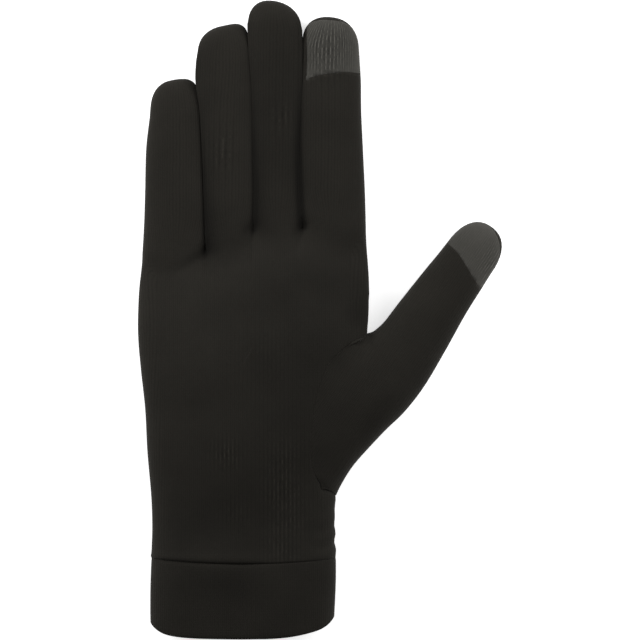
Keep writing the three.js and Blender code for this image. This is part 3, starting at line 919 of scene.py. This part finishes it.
def groove_shade(form, point):
    """How dark the groove between two fingers is. It is wider on the side away from the light."""
    shade = 0.0
    for groove in GROOVE_SHADES:
        line = groove["line"]
        gap = point.x - form.line(line, point.y)
        climbed = (point.y - form.forks[line]) / form.size.little_length
        strength = smooth(GROOVE_START + climbed * GROOVE_CLIMB) * mix(*GROOVE_STRENGTHS, smooth(climbed))
        core = hill(gap, groove["right" if gap > 0 else "left"])
        tail = groove["tail"] * hill(gap, GROOVE_TAIL) if gap > 0 else 0.0
        shade = max(shade, strength * max(core, tail))
    return shade


def spread(form, rows, point):
    """The strongest of a table's soft round marks at a point."""
    across, along = form.shares(point)
    return max(
        row["strength"] * hill(across - row["across"], row["wide"]) * hill(along - row["along"], row["long"])
        for row in rows
    )


def ripples(form, point):
    """Loose cloth on the palm and the back: broad soft dents, and a hollow beside the thumb."""
    broad = sum(noise.noise(point * scale + shift) * height for scale, height, shift in DENTS)
    return broad - (spread(form, HOLLOWS, point) * MM if point.z > PALM_SIDE_ABOVE else 0.0)


def puffs(form, point):
    """The cloth puffs out over the hem, and folds on the thumb's side of the wrist."""
    across, _ = form.shares(point)
    above = point.y - form.size.hem_height
    over_hem = hill(above - PUFF_ABOVE, PUFF_REACH) * PUFF_HEIGHT * fade(across, *PUFF_FADE)
    fold = math.sin(above * 2 * math.pi / FOLD_PITCH + point.z * FOLD_LEAN)
    return over_hem + fold * spread(form, FOLDS, point) * MM


def seam_share(form, point):
    """How much of the full groove a seam is pulled in by. It is little where it hardly shows."""
    across, along = form.shares(point)
    if along < HEM_SEAM_TOP:
        return fade(across, *HEM_SEAM_RIGHT) * fade(across, *HEM_SEAM_LEFT)
    return fade(along, *HEEL_SEAM) if across > THUMB_SEAM_LEFT else PATCH_SEAM


def seam_direction(form, point):
    """The way out of the glove at a seam, which is the same for the two pieces that meet there."""
    _, along = form.shares(point)
    across = point.x * UPPER_MIDDLE if along > UPPER_SEAMS else 0.0
    away = point - Vector((across, point.y, form.size.palm_height / 2))
    return away.normalized()


def settle(form, mesh):
    """Presses creases and ripples into the skin, paints shade into its grooves, creases, seams and darker
    places, sinks its open edges and moves it in place.
    """
    bmesh.ops.recalc_face_normals(mesh, faces=mesh.faces)
    top = max(mesh.faces, key=lambda face: face.calc_center_median().z)
    if top.normal.z < 0:
        bmesh.ops.reverse_faces(mesh, faces=mesh.faces)
    mesh.normal_update()
    shade = mesh.verts.layers.float["shade"]
    opened = mesh.verts.layers.float["open"]
    edge = {v for e in mesh.edges if e.is_boundary for v in e.verts}
    moved = {}
    for vertex in mesh.verts:
        point, up = vertex.co, vertex.normal.z
        crease = crease_depth(form, point) if up > 0 or vertex in edge else 0.0
        # Painted shade: the grooves, the creases and the palm side's darker places darken the colour
        if up > 0:
            shaded = groove_shade(form, point) + crease * CREASE_SHADE + spread(form, SHADES, point)
            vertex[shade] = min(shaded, 1.0)
            vertex[opened] = spread(form, OPEN_RIBS, point)
        # A seam's edge gets painted shade as well as being pulled in
        if vertex in edge:
            outward = seam_direction(form, point)
            seam = seam_share(form, point)
            vertex[shade] = max(vertex[shade], seam * SEAM_SHADE)
            push = -seam * form.size.seam_groove
        else:
            outward = vertex.normal
            push = puffs(form, point)
        push += ripples(form, point) * outward.z ** 2 - crease * max(outward.z, 0.0) * MM
        moved[vertex] = form.placed(point + outward * push)
    for vertex, place in moved.items():
        vertex.co = place
    smooth_fork(form, mesh, edge)


def smooth_fork(form, mesh, edge):
    """Evens the skin round the thumb's fork, where the seam turns sharply."""
    fork = form.placed(form.thumb_frame()[0])
    near = [v for v in mesh.verts if (v.co - fork).xy.length < FORK_REACH]
    rim = [v for v in near if v in edge]
    inside = [v for v in near if v not in edge]
    for _ in range(FORK_SMOOTHINGS):
        beside = {v: [e.other_vert(v).co.z for e in v.link_edges if e.is_boundary] for v in rim}
        for vertex, heights in beside.items():
            vertex.co.z = mix(vertex.co.z, sum(heights) / len(heights), FORK_SMOOTHING)
        bmesh.ops.smooth_vert(
            mesh, verts=inside, factor=FORK_SMOOTHING, use_axis_x=True, use_axis_y=True, use_axis_z=True
        )


def unwrap(mesh):
    """Writes the place of each corner in the cloth to the piece's UV map."""
    wale = mesh.verts.layers.float["wale"]
    course = mesh.verts.layers.float["course"]
    cloth = mesh.loops.layers.uv.new("Cloth")
    for face in mesh.faces:
        for loop in face.loops:
            loop[cloth].uv = (loop.vert[wale], loop.vert[course])


def keep_part(mesh, wanted):
    """Deletes the faces of the other parts of a skin."""
    part = mesh.faces.layers.int["part"]
    others = [face for face in mesh.faces if face[part] != wanted]
    bmesh.ops.delete(mesh, geom=others, context="FACES")


def finish_piece(mesh, name, material, wall=None, stands_for=()):
    """Turns a mesh into a piece of the glove, with a wall of cloth where one is given."""
    for face in mesh.faces:
        face.smooth = True
    data = bpy.data.meshes.new(name)
    mesh.to_mesh(data)
    mesh.free()
    data.materials.append(material)
    piece = bpy.data.objects.new(name, data)
    bpy.context.scene.collection.objects.link(piece)
    if wall:
        solid = piece.modifiers.new("Cloth wall", "SOLIDIFY")
        solid.thickness = wall
        solid.offset = -1
    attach(piece, "root")
    if stands_for:
        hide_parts(*stands_for)
    return piece


# Materials

class Value:
    """A node's output that can be used in sums like a number."""

    def __init__(self, tree, socket):
        self.tree = tree
        self.socket = socket

    def node(self, kind, inputs=(), settings=(), output=0):
        """Adds a node, sets it up, fills its inputs and gives one of its outputs."""
        node = self.tree.nodes.new(kind)
        for name, setting in dict(settings).items():
            setattr(node, name, setting)
        for name, given in dict(inputs).items():
            if isinstance(given, Value):
                self.tree.links.new(given.socket, node.inputs[name])
            else:
                node.inputs[name].default_value = given
        return Value(self.tree, node.outputs[output])

    def output(self, name):
        """Another output of the same node."""
        return Value(self.tree, self.socket.node.outputs[name])

    def maths(self, operation, first, second=0.0):
        return self.node("ShaderNodeMath", {0: first, 1: second}, {"operation": operation})

    def __add__(self, other):
        return self.maths("ADD", self, other)

    def __radd__(self, other):
        return self.maths("ADD", other, self)

    def __sub__(self, other):
        return self.maths("SUBTRACT", self, other)

    def __rsub__(self, other):
        return self.maths("SUBTRACT", other, self)

    def __mul__(self, other):
        return self.maths("MULTIPLY", self, other)

    def __rmul__(self, other):
        return self.maths("MULTIPLY", other, self)

    def __truediv__(self, other):
        return self.maths("DIVIDE", self, other)

    def zigzag(self):
        """Falls from 1 to 0 and climbs back in each whole step."""
        return self.maths("ABSOLUTE", self.maths("FRACT", self) - 0.5) * 2

    def ramp(self, low, high):
        inputs = {"Value": self, "From Min": low, "From Max": high}
        return self.node("ShaderNodeMapRange", inputs, {"interpolation_type": "SMOOTHSTEP"})


# How much the stitches and the ribs show, in height and as painted light, how broken the ribs
# are, how much of them shows where the knit isn't pulled open, and how many wales make a rib
Knit = namedtuple("Knit", "stitches ribs flecks even rib_wales")
JERSEY_KNIT = Knit(0.16, 0.85, 0.8, 0.04, 2)
TOUCH_KNIT = Knit(0.08, 0.75, 0.9, 0.08, 1.25)

# Scale and detail of each noise, and what a noise or a mask is sharpened to
WOBBLE = (260.0, 2.0)
CLUSTERS = (48.0, 1.0)
FUZZ = (2600.0, 3.0)
CLOUDS = (55.0, 4.0)
FLECKS = (1.0, 2.0)
FLECK_STRETCH = (1000.0, 500.0, 1.0)
SHARPER = (0.4, 0.6)
RIB_EDGE = (0.45, 1.0)

# How the stitches lean, dip and stray, how deep a rib lies, which also paints shade between
# the ribs, and how much of a rib shows where the knit is pulled open but no cluster lies
LEG_LEAN = 0.6
STITCH_DIP = 0.6
STRAY = 0.5
RIB_DEPTH = 0.2
OPEN_SHARE = 0.45

# How high the stitches and the fuzz stand, and how each changes the colour and the roughness;
# the stitches' colour change is painted light, and the shade strength is that of the painted shade
STITCH_HEIGHT = 3.4
FUZZ_HEIGHT = 0.35
BUMP_STRENGTH = 0.55
BUMP_DISTANCE = 0.25 * MM
MID_LIGHT = 0.42
FUZZ_LIGHT = 0.2
CLOUD_LIGHT = 0.24
SHADE_STRENGTH = 0.6
MID_ROUGHNESS = 0.86
FUZZ_ROUGHNESS = 0.2


def knitted(name, colour, knit):
    """Fine knitting: columns of V-shaped stitches, with a rib that stands higher every few wales."""
    made = bpy.data.materials.get(name)
    if made:
        return made
    look = bpy.context.scene.glove_look
    material = bpy.data.materials.new(name)
    material.use_nodes = True
    tree = material.node_tree
    tree.nodes.clear()
    start = Value(tree, None)
    cloth = start.node("ShaderNodeUVMap", settings={"uv_map": "Cloth"})
    place = start.node("ShaderNodeTexCoord", output="Object")

    def speckled(scale, detail, where=place):
        return start.node("ShaderNodeTexNoise", {"Vector": where, "Scale": scale, "Detail": detail})

    def attribute(layer):
        return start.node("ShaderNodeAttribute", settings={"attribute_name": layer}, output="Fac")

    split = start.node("ShaderNodeSeparateXYZ", {"Vector": cloth})
    across = split / look.wale_pitch + (speckled(*WOBBLE) - 0.5) * STRAY
    along = split.output("Y") / look.course_pitch
    leg = across.zigzag()
    stitch = (along + leg * LEG_LEAN).zigzag()
    loop = (1 - leg * leg) * (1 - stitch * stitch * STITCH_DIP)
    ridge = (across / knit.rib_wales).zigzag()
    stretched = start.node(
        "ShaderNodeVectorMath", {0: cloth, 1: FLECK_STRETCH}, {"operation": "MULTIPLY"}
    )
    strength = 1 - knit.flecks + speckled(*FLECKS, stretched).ramp(*SHARPER) * knit.flecks
    clusters = speckled(*CLUSTERS).ramp(*SHARPER)
    shown = knit.even + (OPEN_SHARE + clusters * (1 - OPEN_SHARE)) * attribute("open")
    rib = (ridge.ramp(*RIB_EDGE) - RIB_DEPTH) * strength * shown
    fuzz = speckled(*FUZZ)
    clouds = speckled(*CLOUDS)
    height = loop * knit.stitches * STITCH_HEIGHT + rib * knit.ribs + fuzz * FUZZ_HEIGHT
    # Painted light and shade: the colour is lighter where the stitches and ribs stand high and darker in the
    # valleys between ribs; the fuzz and the clouds add random tone
    light = MID_LIGHT + loop * knit.stitches + rib * knit.ribs
    light = light + (fuzz - 0.5) * FUZZ_LIGHT + (clouds - 0.5) * CLOUD_LIGHT
    # Painted shade from the skin's shade layer darkens the colour in grooves, creases, seams and darker
    # places
    shaded = light * (1 - attribute("shade") * SHADE_STRENGTH)
    black = (0.0, 0.0, 0.0, 1.0)
    doubled = (*[channel * 2 for channel in colour], 1.0)
    # A colour Mix node has its factor at 0, its colours at 6 and 7 and its result at 2
    shader = start.node("ShaderNodeBsdfPrincipled", {
        "Base Color": start.node(
            "ShaderNodeMix", {0: shaded, 6: black, 7: doubled}, {"data_type": "RGBA"}, output=2
        ),
        "Roughness": MID_ROUGHNESS + (fuzz - 0.5) * FUZZ_ROUGHNESS,
        "Normal": start.node(
            "ShaderNodeBump", {"Strength": BUMP_STRENGTH, "Distance": BUMP_DISTANCE, "Height": height}
        ),
        "Sheen Weight": look.sheen,
        "Sheen Roughness": 0.35,
        "Sheen Tint": (1.0, 0.97, 0.92, 1.0),
        "Specular IOR Level": 0.08,
    })
    output = tree.nodes.new("ShaderNodeOutputMaterial")
    tree.links.new(shader.socket, output.inputs["Surface"])
    return material


def jersey():
    return knitted("Black jersey", bpy.context.scene.glove_look.jersey_colour, JERSEY_KNIT)


def touch_knit():
    return knitted("Grey touch knit", bpy.context.scene.glove_look.patch_colour, TOUCH_KNIT)


# Sizes and colours

def length(name, default, description):
    return bpy.props.FloatProperty(
        name=name, description=description, default=default, min=0.0, unit="LENGTH", precision=4
    )


def proportion(name, default, description):
    return bpy.props.FloatProperty(
        name=name, description=description, default=default, min=0.0, max=1.0, subtype="FACTOR"
    )


def tint(name, default, description):
    return bpy.props.FloatVectorProperty(
        name=name, description=description, default=default, size=3, min=0.0, max=1.0, subtype="COLOR"
    )


class GloveSizes(bpy.types.PropertyGroup):
    """Sizes of the glove"""

    wall: length("Wall", 0.0012, "Thickness of one layer of jersey")
    seam_gap: length("Seam gap", 0.0003, "Clearance between two sewn pieces")
    seam_groove: length("Seam groove", 0.0004, "How deep a seam pulls the cloth in")
    rest_flat: length("Flattening", 0.0012, "How far a section is flattened where it rests")
    hem_height: length("Hem height", 0.0282, "Height of the folded hem at the wrist")
    hem_wall: length("Hem wall", 0.0022, "Thickness of the folded hem")
    stitch_width: length("Stitch width", 0.0004, "Thickness of the hem's thread")
    hem_scoop: length("Rim scoop", 0.006, "How far the rim is drawn up at its sides")
    hem_lean: length("Hem lean", 0.0004, "How far the rim lies aside of the hem's seam")
    rim_lift: length("Rim lift", 0.0003, "How far the rim's lowest part lies above the CAD's")
    seam_scoop: length("Seam scoop", 0.0020, "How far the hem's seam is drawn up at its sides")
    wrist_width: length("Wrist width", 0.0686, "Width of the wrist, lying flat")
    palm_length: length("Palm length", 0.1262, "From the hem's seam to the fork of the index finger")
    palm_width: length("Palm width", 0.0864, "Width of the palm at the knuckles")
    palm_height: length("Palm height", 0.024, "Height of the palm above the table")
    little_length: length("Little finger length", 0.0658, "From its fork to its tip")
    little_width: length("Little finger width", 0.0239, "Width at its fork")
    little_drop: length("Little fork drop", 0.0098, "How far its fork lies below the index finger's")
    ring_length: length("Ring finger length", 0.0776, "From its fork to its tip")
    ring_width: length("Ring finger width", 0.0179, "Width at its fork")
    ring_drop: length("Ring fork drop", 0.0011, "How far its fork lies below the index finger's")
    middle_length: length("Middle finger length", 0.0856, "From its fork to its tip")
    middle_width: length("Middle finger width", 0.0188, "Width at its fork")
    middle_rise: length("Middle finger rise", 0.0002, "How far it lies above its neighbours")
    index_length: length("Index finger length", 0.0794, "From its fork to its tip")
    index_width: length("Index finger width", 0.0235, "Width at its fork")
    finger_height: length("Finger height", 0.015, "Height of a finger above the table")
    thumb_length: length("Thumb length", 0.0583, "From its fork to its tip")
    thumb_base: length("Thumb base", 0.053, "From its fork down to the wrist")
    thumb_width: length("Thumb width", 0.026, "Width of the thumb at its base")
    thumb_height: length("Thumb height", 0.021, "Height of the thumb's ball above the table")
    thumb_offset: length("Thumb offset", 0.0439, "From the palm's middle to the thumb's fork")
    fork_rise: length("Fork rise", 0.0045, "How far the thumb's seam climbs to its fork")
    heel_drop: length("Heel drop", 0.003, "How far the thumb's seam drops at the wrist")
    index_patch_length: length("Index patch length", 0.0212, "Length of the index finger's patch")
    index_patch_inset: length("Index patch inset", 0.0018, "Distance from the middle finger's side")
    thumb_patch_length: length("Thumb patch length", 0.0175, "Length of the thumb's patch")
    thumb_angle: bpy.props.FloatProperty(
        name="Thumb angle", description="From +X to the thumb's axis",
        default=math.radians(56), subtype="ANGLE",
    )
    thumb_fork: proportion("Thumb fork", 0.69, "Share of the palm's length where the thumb forks off")
    thumb_tip_across: proportion("Thumb tip", 0.60, "Share of the thumb's width where its tip lies")
    thumb_opening_low: proportion("Opening start", 0.214, "Where the thumb's opening starts on the palm")
    thumb_opening_high: proportion("Opening end", 0.647, "Where the thumb's opening ends on the palm")


class GloveLook(bpy.types.PropertyGroup):
    """Colours and knitting of the glove"""

    jersey_colour: tint("Jersey", (0.0163, 0.0149, 0.0123), "Colour of the black jersey")
    # The touch knit's colour is painted lighter so that the thumb's patch looks lit; a row of SHADES paints
    # shade back onto the index finger's patch
    patch_colour: tint("Touch knit", (0.0565, 0.0545, 0.0485), "Colour of the grey touch patches")
    floor_colour: tint("Floor", (0.93, 0.93, 0.93), "Colour of the floor")
    floor_glow: bpy.props.FloatProperty(
        name="Floor glow", description="Light that comes up through the floor, as from a light table",
        default=0.7, min=0.0, soft_max=2.0,
    )
    sheen: proportion("Sheen", 0.04, "Soft light that the cloth's nap catches at its edges")
    wale_pitch: length("Wale pitch", 0.00077, "Distance between two columns of stitches")
    course_pitch: length("Course pitch", 0.0006, "Distance between two rows of stitches")
    camera_height: length("Camera height", 3.0, "Height of the camera above the table")
    outline_height: length("Outline height", 0.006, "Height at which the picture shows true size")
    picture_width: length("Picture width", 0.2408, "Width that the picture shows")
    aim_right: length("Aim right", 0.00028, "How far the camera aims to the right of the glove's middle")
    aim_down: length("Aim down", 0.00019, "How far the camera aims below the glove's middle")


# Operators

def make_skin(context, grow, part, name, material, node):
    """Grows a skin, settles it, keeps the faces of one part and makes them a piece."""
    form = GloveForm(context.scene.glove_sizes)
    mesh = grow(form)
    settle(form, mesh)
    keep_part(mesh, part)
    unwrap(mesh)
    return finish_piece(mesh, name, material, form.size.wall, [node])


class GLOVE_OT_hand(bpy.types.Operator):
    """Grow the palm, the back and the four fingers"""

    bl_idname = "glove.hand"
    bl_label = "Hand"

    def execute(self, context):
        piece = make_skin(context, grow_hand, BLACK, "hand_skin", jersey(), "hand_shell")
        return {"FINISHED"}


class GLOVE_OT_thumb(bpy.types.Operator):
    """Grow the thumb out of its opening in the palm"""

    bl_idname = "glove.thumb"
    bl_label = "Thumb"

    def execute(self, context):
        piece = make_skin(context, grow_thumb, BLACK, "thumb_skin", jersey(), "thumb")
        return {"FINISHED"}


class GLOVE_OT_patches(bpy.types.Operator):
    """Make the two grey touch patches"""

    bl_idname = "glove.patches"
    bl_label = "Touch patches"

    def execute(self, context):
        for grow, name, node in (
            (grow_hand, "index_touch_knit", "index_touch_patch"),
            (grow_thumb, "thumb_touch_knit", "thumb_touch_patch"),
        ):
            piece = make_skin(context, grow, GREY, name, touch_knit(), node)
        return {"FINISHED"}


class GLOVE_OT_hem(bpy.types.Operator):
    """Make the hem, folded double at the wrist"""

    bl_idname = "glove.hem"
    bl_label = "Hem"

    def execute(self, context):
        form = GloveForm(context.scene.glove_sizes)
        mesh = grow_hem(form)
        unwrap(mesh)
        piece = finish_piece(mesh, "hem_fold", jersey(), stands_for=["cuff_hem"])
        return {"FINISHED"}


# The hem's puff, its last rings below the seam with how far each is sunk, the end that is
# tucked in, and its dents: how many in a metre and how high
HEM_PUFF = 0.25 * MM
HEM_EDGE = ((0.5 * MM, 0.3), (0.1 * MM, 1.0))
HEM_TUCK = 0.3 * MM
HEM_TUCK_INSET = 0.15 * MM
HEM_DENTS = 60
HEM_DENT_HEIGHT = 0.22 * MM


def hem_profile(size):
    """The hem's cut from its hidden inner edge round the fold, and up to where it is tucked in.

    Each row gives the height, the inset and how much of the seam's groove is added to it.
    """
    top, bend = size.hem_height, size.hem_wall / 2
    rows = [(top, size.hem_wall, 0.0), (top / 2, size.hem_wall, 0.0)]
    for step in range(HEM_FOLD_STEPS + 1):
        turn = math.pi * step / HEM_FOLD_STEPS
        rows.append((bend - bend * math.sin(turn), bend + bend * math.cos(turn), 0.0))
    for step in range(1, HEM_ROWS):
        share = step / HEM_ROWS
        rows.append((bend + (top - bend) * share, -HEM_PUFF * math.sin(math.pi * share), 0.0))
    rows += [(top - below, 0.0, sunk) for below, sunk in HEM_EDGE]
    rows.append((top + size.seam_gap + HEM_TUCK, HEM_TUCK_INSET, 1.0))
    return rows


RIM = table(
    "from slope bend corner steep",
    (0.30, 0.31, 2, 0.55, 9),
    (0.20, 0.75, 2, 0.50, 14),
)


def rim_rise(u):
    """How far the rim is drawn up from its lowest part to its left and to its right corner."""
    side = RIM[0 if u < 0 else 1]
    reach = max(abs(u) - side["from"], 0) / (1 - side["from"])
    return side["slope"] * reach ** side["bend"] + side["corner"] * reach ** side["steep"]


def grow_hem(form):
    """The hem, a closed tube of doubled cloth, from its inner edge round the fold to its seam."""
    size = form.size
    mesh = bmesh.new()
    layers = cloth_layers(mesh)
    centre, half, level, tall = form.palm_section(0.0)
    rings = []
    for height, start, sunk in hem_profile(size):
        share = min(height / size.hem_height, 1.0)
        lean = size.hem_lean * math.sin(math.pi / 2 * (1 - share))
        points = []
        for column in range(RING_COLUMNS):
            u, v = form.ring_unit(column)
            rim = size.hem_scoop * rim_rise(u) + size.rim_lift
            y = height + mix(rim, size.seam_scoop * (1 - v * v), share)
            seam = seam_share(form, Vector((centre + half * u, y, 0)))
            inset = start + sunk * seam * size.seam_groove
            z = resting(level + (tall - inset) * v, max(inset, 0.0))
            points.append(Vector((centre - lean + (half - inset - lean / 2) * u, y, z)))
        ring = grown(mesh, rings[-1], points) if rings else first_ring(mesh, points)
        tag(layers, ring, [p.x for p in points], [p.y for p in points])
        rings.append(ring)
    # Painted shade: the palm side's darker places reach onto the hem's upper side, and the last two rings at
    # its seam are darkened
    shade = mesh.verts.layers.float["shade"]
    for vertex in mesh.verts:
        vertex[shade] = spread(form, SHADES, vertex.co) if vertex.co.z > level else 0.0
    for vertex in rings[-1] + rings[-2]:
        vertex[shade] = seam_share(form, vertex.co) * SEAM_SHADE
    bmesh.ops.bridge_loops(mesh, edges=[e for e in mesh.edges if e.is_boundary])
    bmesh.ops.recalc_face_normals(mesh, faces=mesh.faces)
    mesh.normal_update()
    shift = {v: v.normal * noise.noise(v.co * HEM_DENTS) * HEM_DENT_HEIGHT for v in mesh.verts}
    for vertex, move in shift.items():
        vertex.co = vertex.co + move + form.origin
    return mesh


def add_stitch(mesh, start, end, thickness):
    """A short bead of thread between two points."""
    along = end - start
    place = Matrix.Translation((start + end) / 2) @ along.to_track_quat("Z", "Y").to_matrix().to_4x4()
    size = Matrix.Diagonal((thickness, thickness, along.length, 1.0))
    bmesh.ops.create_uvsphere(mesh, u_segments=8, v_segments=5, radius=0.5, matrix=place @ size)


class GLOVE_OT_stitches(bpy.types.Operator):
    """Sew the hem on with a row of short stitches"""

    bl_idname = "glove.stitches"
    bl_label = "Stitches"

    def execute(self, context):
        form = GloveForm(context.scene.glove_sizes)
        size = form.size
        centre, half, level, tall = form.palm_section(0.0)
        mesh = bmesh.new()
        mesh.verts.layers.float.new("shade")
        mesh.loops.layers.uv.new("Cloth")

        def seam_point(column, height):
            u, v = form.ring_unit(column % RING_COLUMNS)
            y = size.hem_height + height + size.seam_scoop * (1 - v * v)
            seam = seam_share(form, Vector((centre + half * u, y, 0)))
            inset = seam * size.seam_groove + size.stitch_width / 2
            return Vector((centre + (half - inset) * u, y, resting(level + (tall - inset) * v, inset)))

        for column in range(0, RING_COLUMNS, 2):
            start = seam_point(column, -size.stitch_width) + form.origin
            end = seam_point(column + 1, size.stitch_width + size.seam_gap) + form.origin
            add_stitch(mesh, start, end, size.stitch_width)
        piece = finish_piece(mesh, "hem_stitches", jersey())
        return {"FINISHED"}


LIGHTS = (
    ("Key light", (-0.36, 0.30, 0.24), 2.6),
    ("Fill light", (0.36, 0.18, 0.24), 1.65),
)
LIGHT_WIDTH = 0.35
DAYLIGHT = 0.25
FLOOR_REACH = 3.0
FARTHEST_SEEN = 20.0


class GLOVE_OT_stage(bpy.types.Operator):
    """Set up the floor, the lights and the camera"""

    bl_idname = "glove.stage"
    bl_label = "Stage"

    def execute(self, context):
        scene = context.scene
        look = scene.glove_look
        mesh = bmesh.new()
        bmesh.ops.create_grid(mesh, x_segments=1, y_segments=1, size=FLOOR_REACH)
        data = bpy.data.meshes.new("Floor")
        mesh.to_mesh(data)
        mesh.free()
        floor = bpy.data.objects.new("Floor", data)
        scene.collection.objects.link(floor)
        paint = bpy.data.materials.new("Pale floor")
        paint.use_nodes = True
        shader = paint.node_tree.nodes["Principled BSDF"]
        shader.inputs["Base Color"].default_value = (*look.floor_colour, 1.0)
        shader.inputs["Roughness"].default_value = 0.9
        shader.inputs["Emission Color"].default_value = (*look.floor_colour, 1.0)
        shader.inputs["Emission Strength"].default_value = look.floor_glow
        data.materials.append(paint)
        world = scene.world or bpy.data.worlds.new("World")
        scene.world = world
        world.use_nodes = True
        background = world.node_tree.nodes["Background"]
        background.inputs["Color"].default_value = (1.0, 1.0, 1.0, 1.0)
        background.inputs["Strength"].default_value = DAYLIGHT
        for name, place, power in LIGHTS:
            data = bpy.data.lights.new(name, "AREA")
            data.energy = power
            data.size = LIGHT_WIDTH
            light = bpy.data.objects.new(name, data)
            scene.collection.objects.link(light)
            light.location = place
            light.rotation_euler = (-Vector(place)).to_track_quat("-Z", "Y").to_euler()
        camera_data = bpy.data.cameras.new("Camera")
        camera = bpy.data.objects.new("Camera", camera_data)
        scene.collection.objects.link(camera)
        low, high = (Vector(corner) for corner in CAD_BOX)
        middle = (low + high) / 2
        camera.location = (middle.x + look.aim_right, middle.y - look.aim_down, look.camera_height)
        distance = look.camera_height - look.outline_height
        camera_data.lens = camera_data.sensor_width * distance / look.picture_width
        camera_data.clip_end = FARTHEST_SEEN
        scene.camera = camera
        scene.view_settings.view_transform = "Standard"
        return {"FINISHED"}


class GLOVE_PT_panel(bpy.types.Panel):
    """The glove's sizes, colours and steps"""

    bl_label = "Glove liner"
    bl_idname = "GLOVE_PT_panel"
    bl_space_type = "VIEW_3D"
    bl_region_type = "UI"
    bl_category = "Glove"

    def draw(self, context):
        layout = self.layout
        for settings in (context.scene.glove_sizes, context.scene.glove_look):
            box = layout.box()
            for name in settings.__annotations__:
                box.prop(settings, name)
        for step in STEPS:
            layout.operator(step.bl_idname)


STEPS = (
    GLOVE_OT_hand, GLOVE_OT_thumb, GLOVE_OT_patches, GLOVE_OT_hem, GLOVE_OT_stitches, GLOVE_OT_stage,
)
CLASSES = (GloveSizes, GloveLook, *STEPS, GLOVE_PT_panel)


def register():
    for item in CLASSES:
        bpy.utils.register_class(item)
    bpy.types.Scene.glove_sizes = bpy.props.PointerProperty(type=GloveSizes)
    bpy.types.Scene.glove_look = bpy.props.PointerProperty(type=GloveLook)


def unregister():
    del bpy.types.Scene.glove_look
    del bpy.types.Scene.glove_sizes
    for item in reversed(CLASSES):
        bpy.utils.unregister_class(item)


def main():
    register()
    bpy.ops.glove.hand()
    bpy.ops.glove.thumb()
    bpy.ops.glove.patches()
    bpy.ops.glove.hem()
    bpy.ops.glove.stitches()
    bpy.ops.glove.stage()


if __name__ == "__main__":
    main()
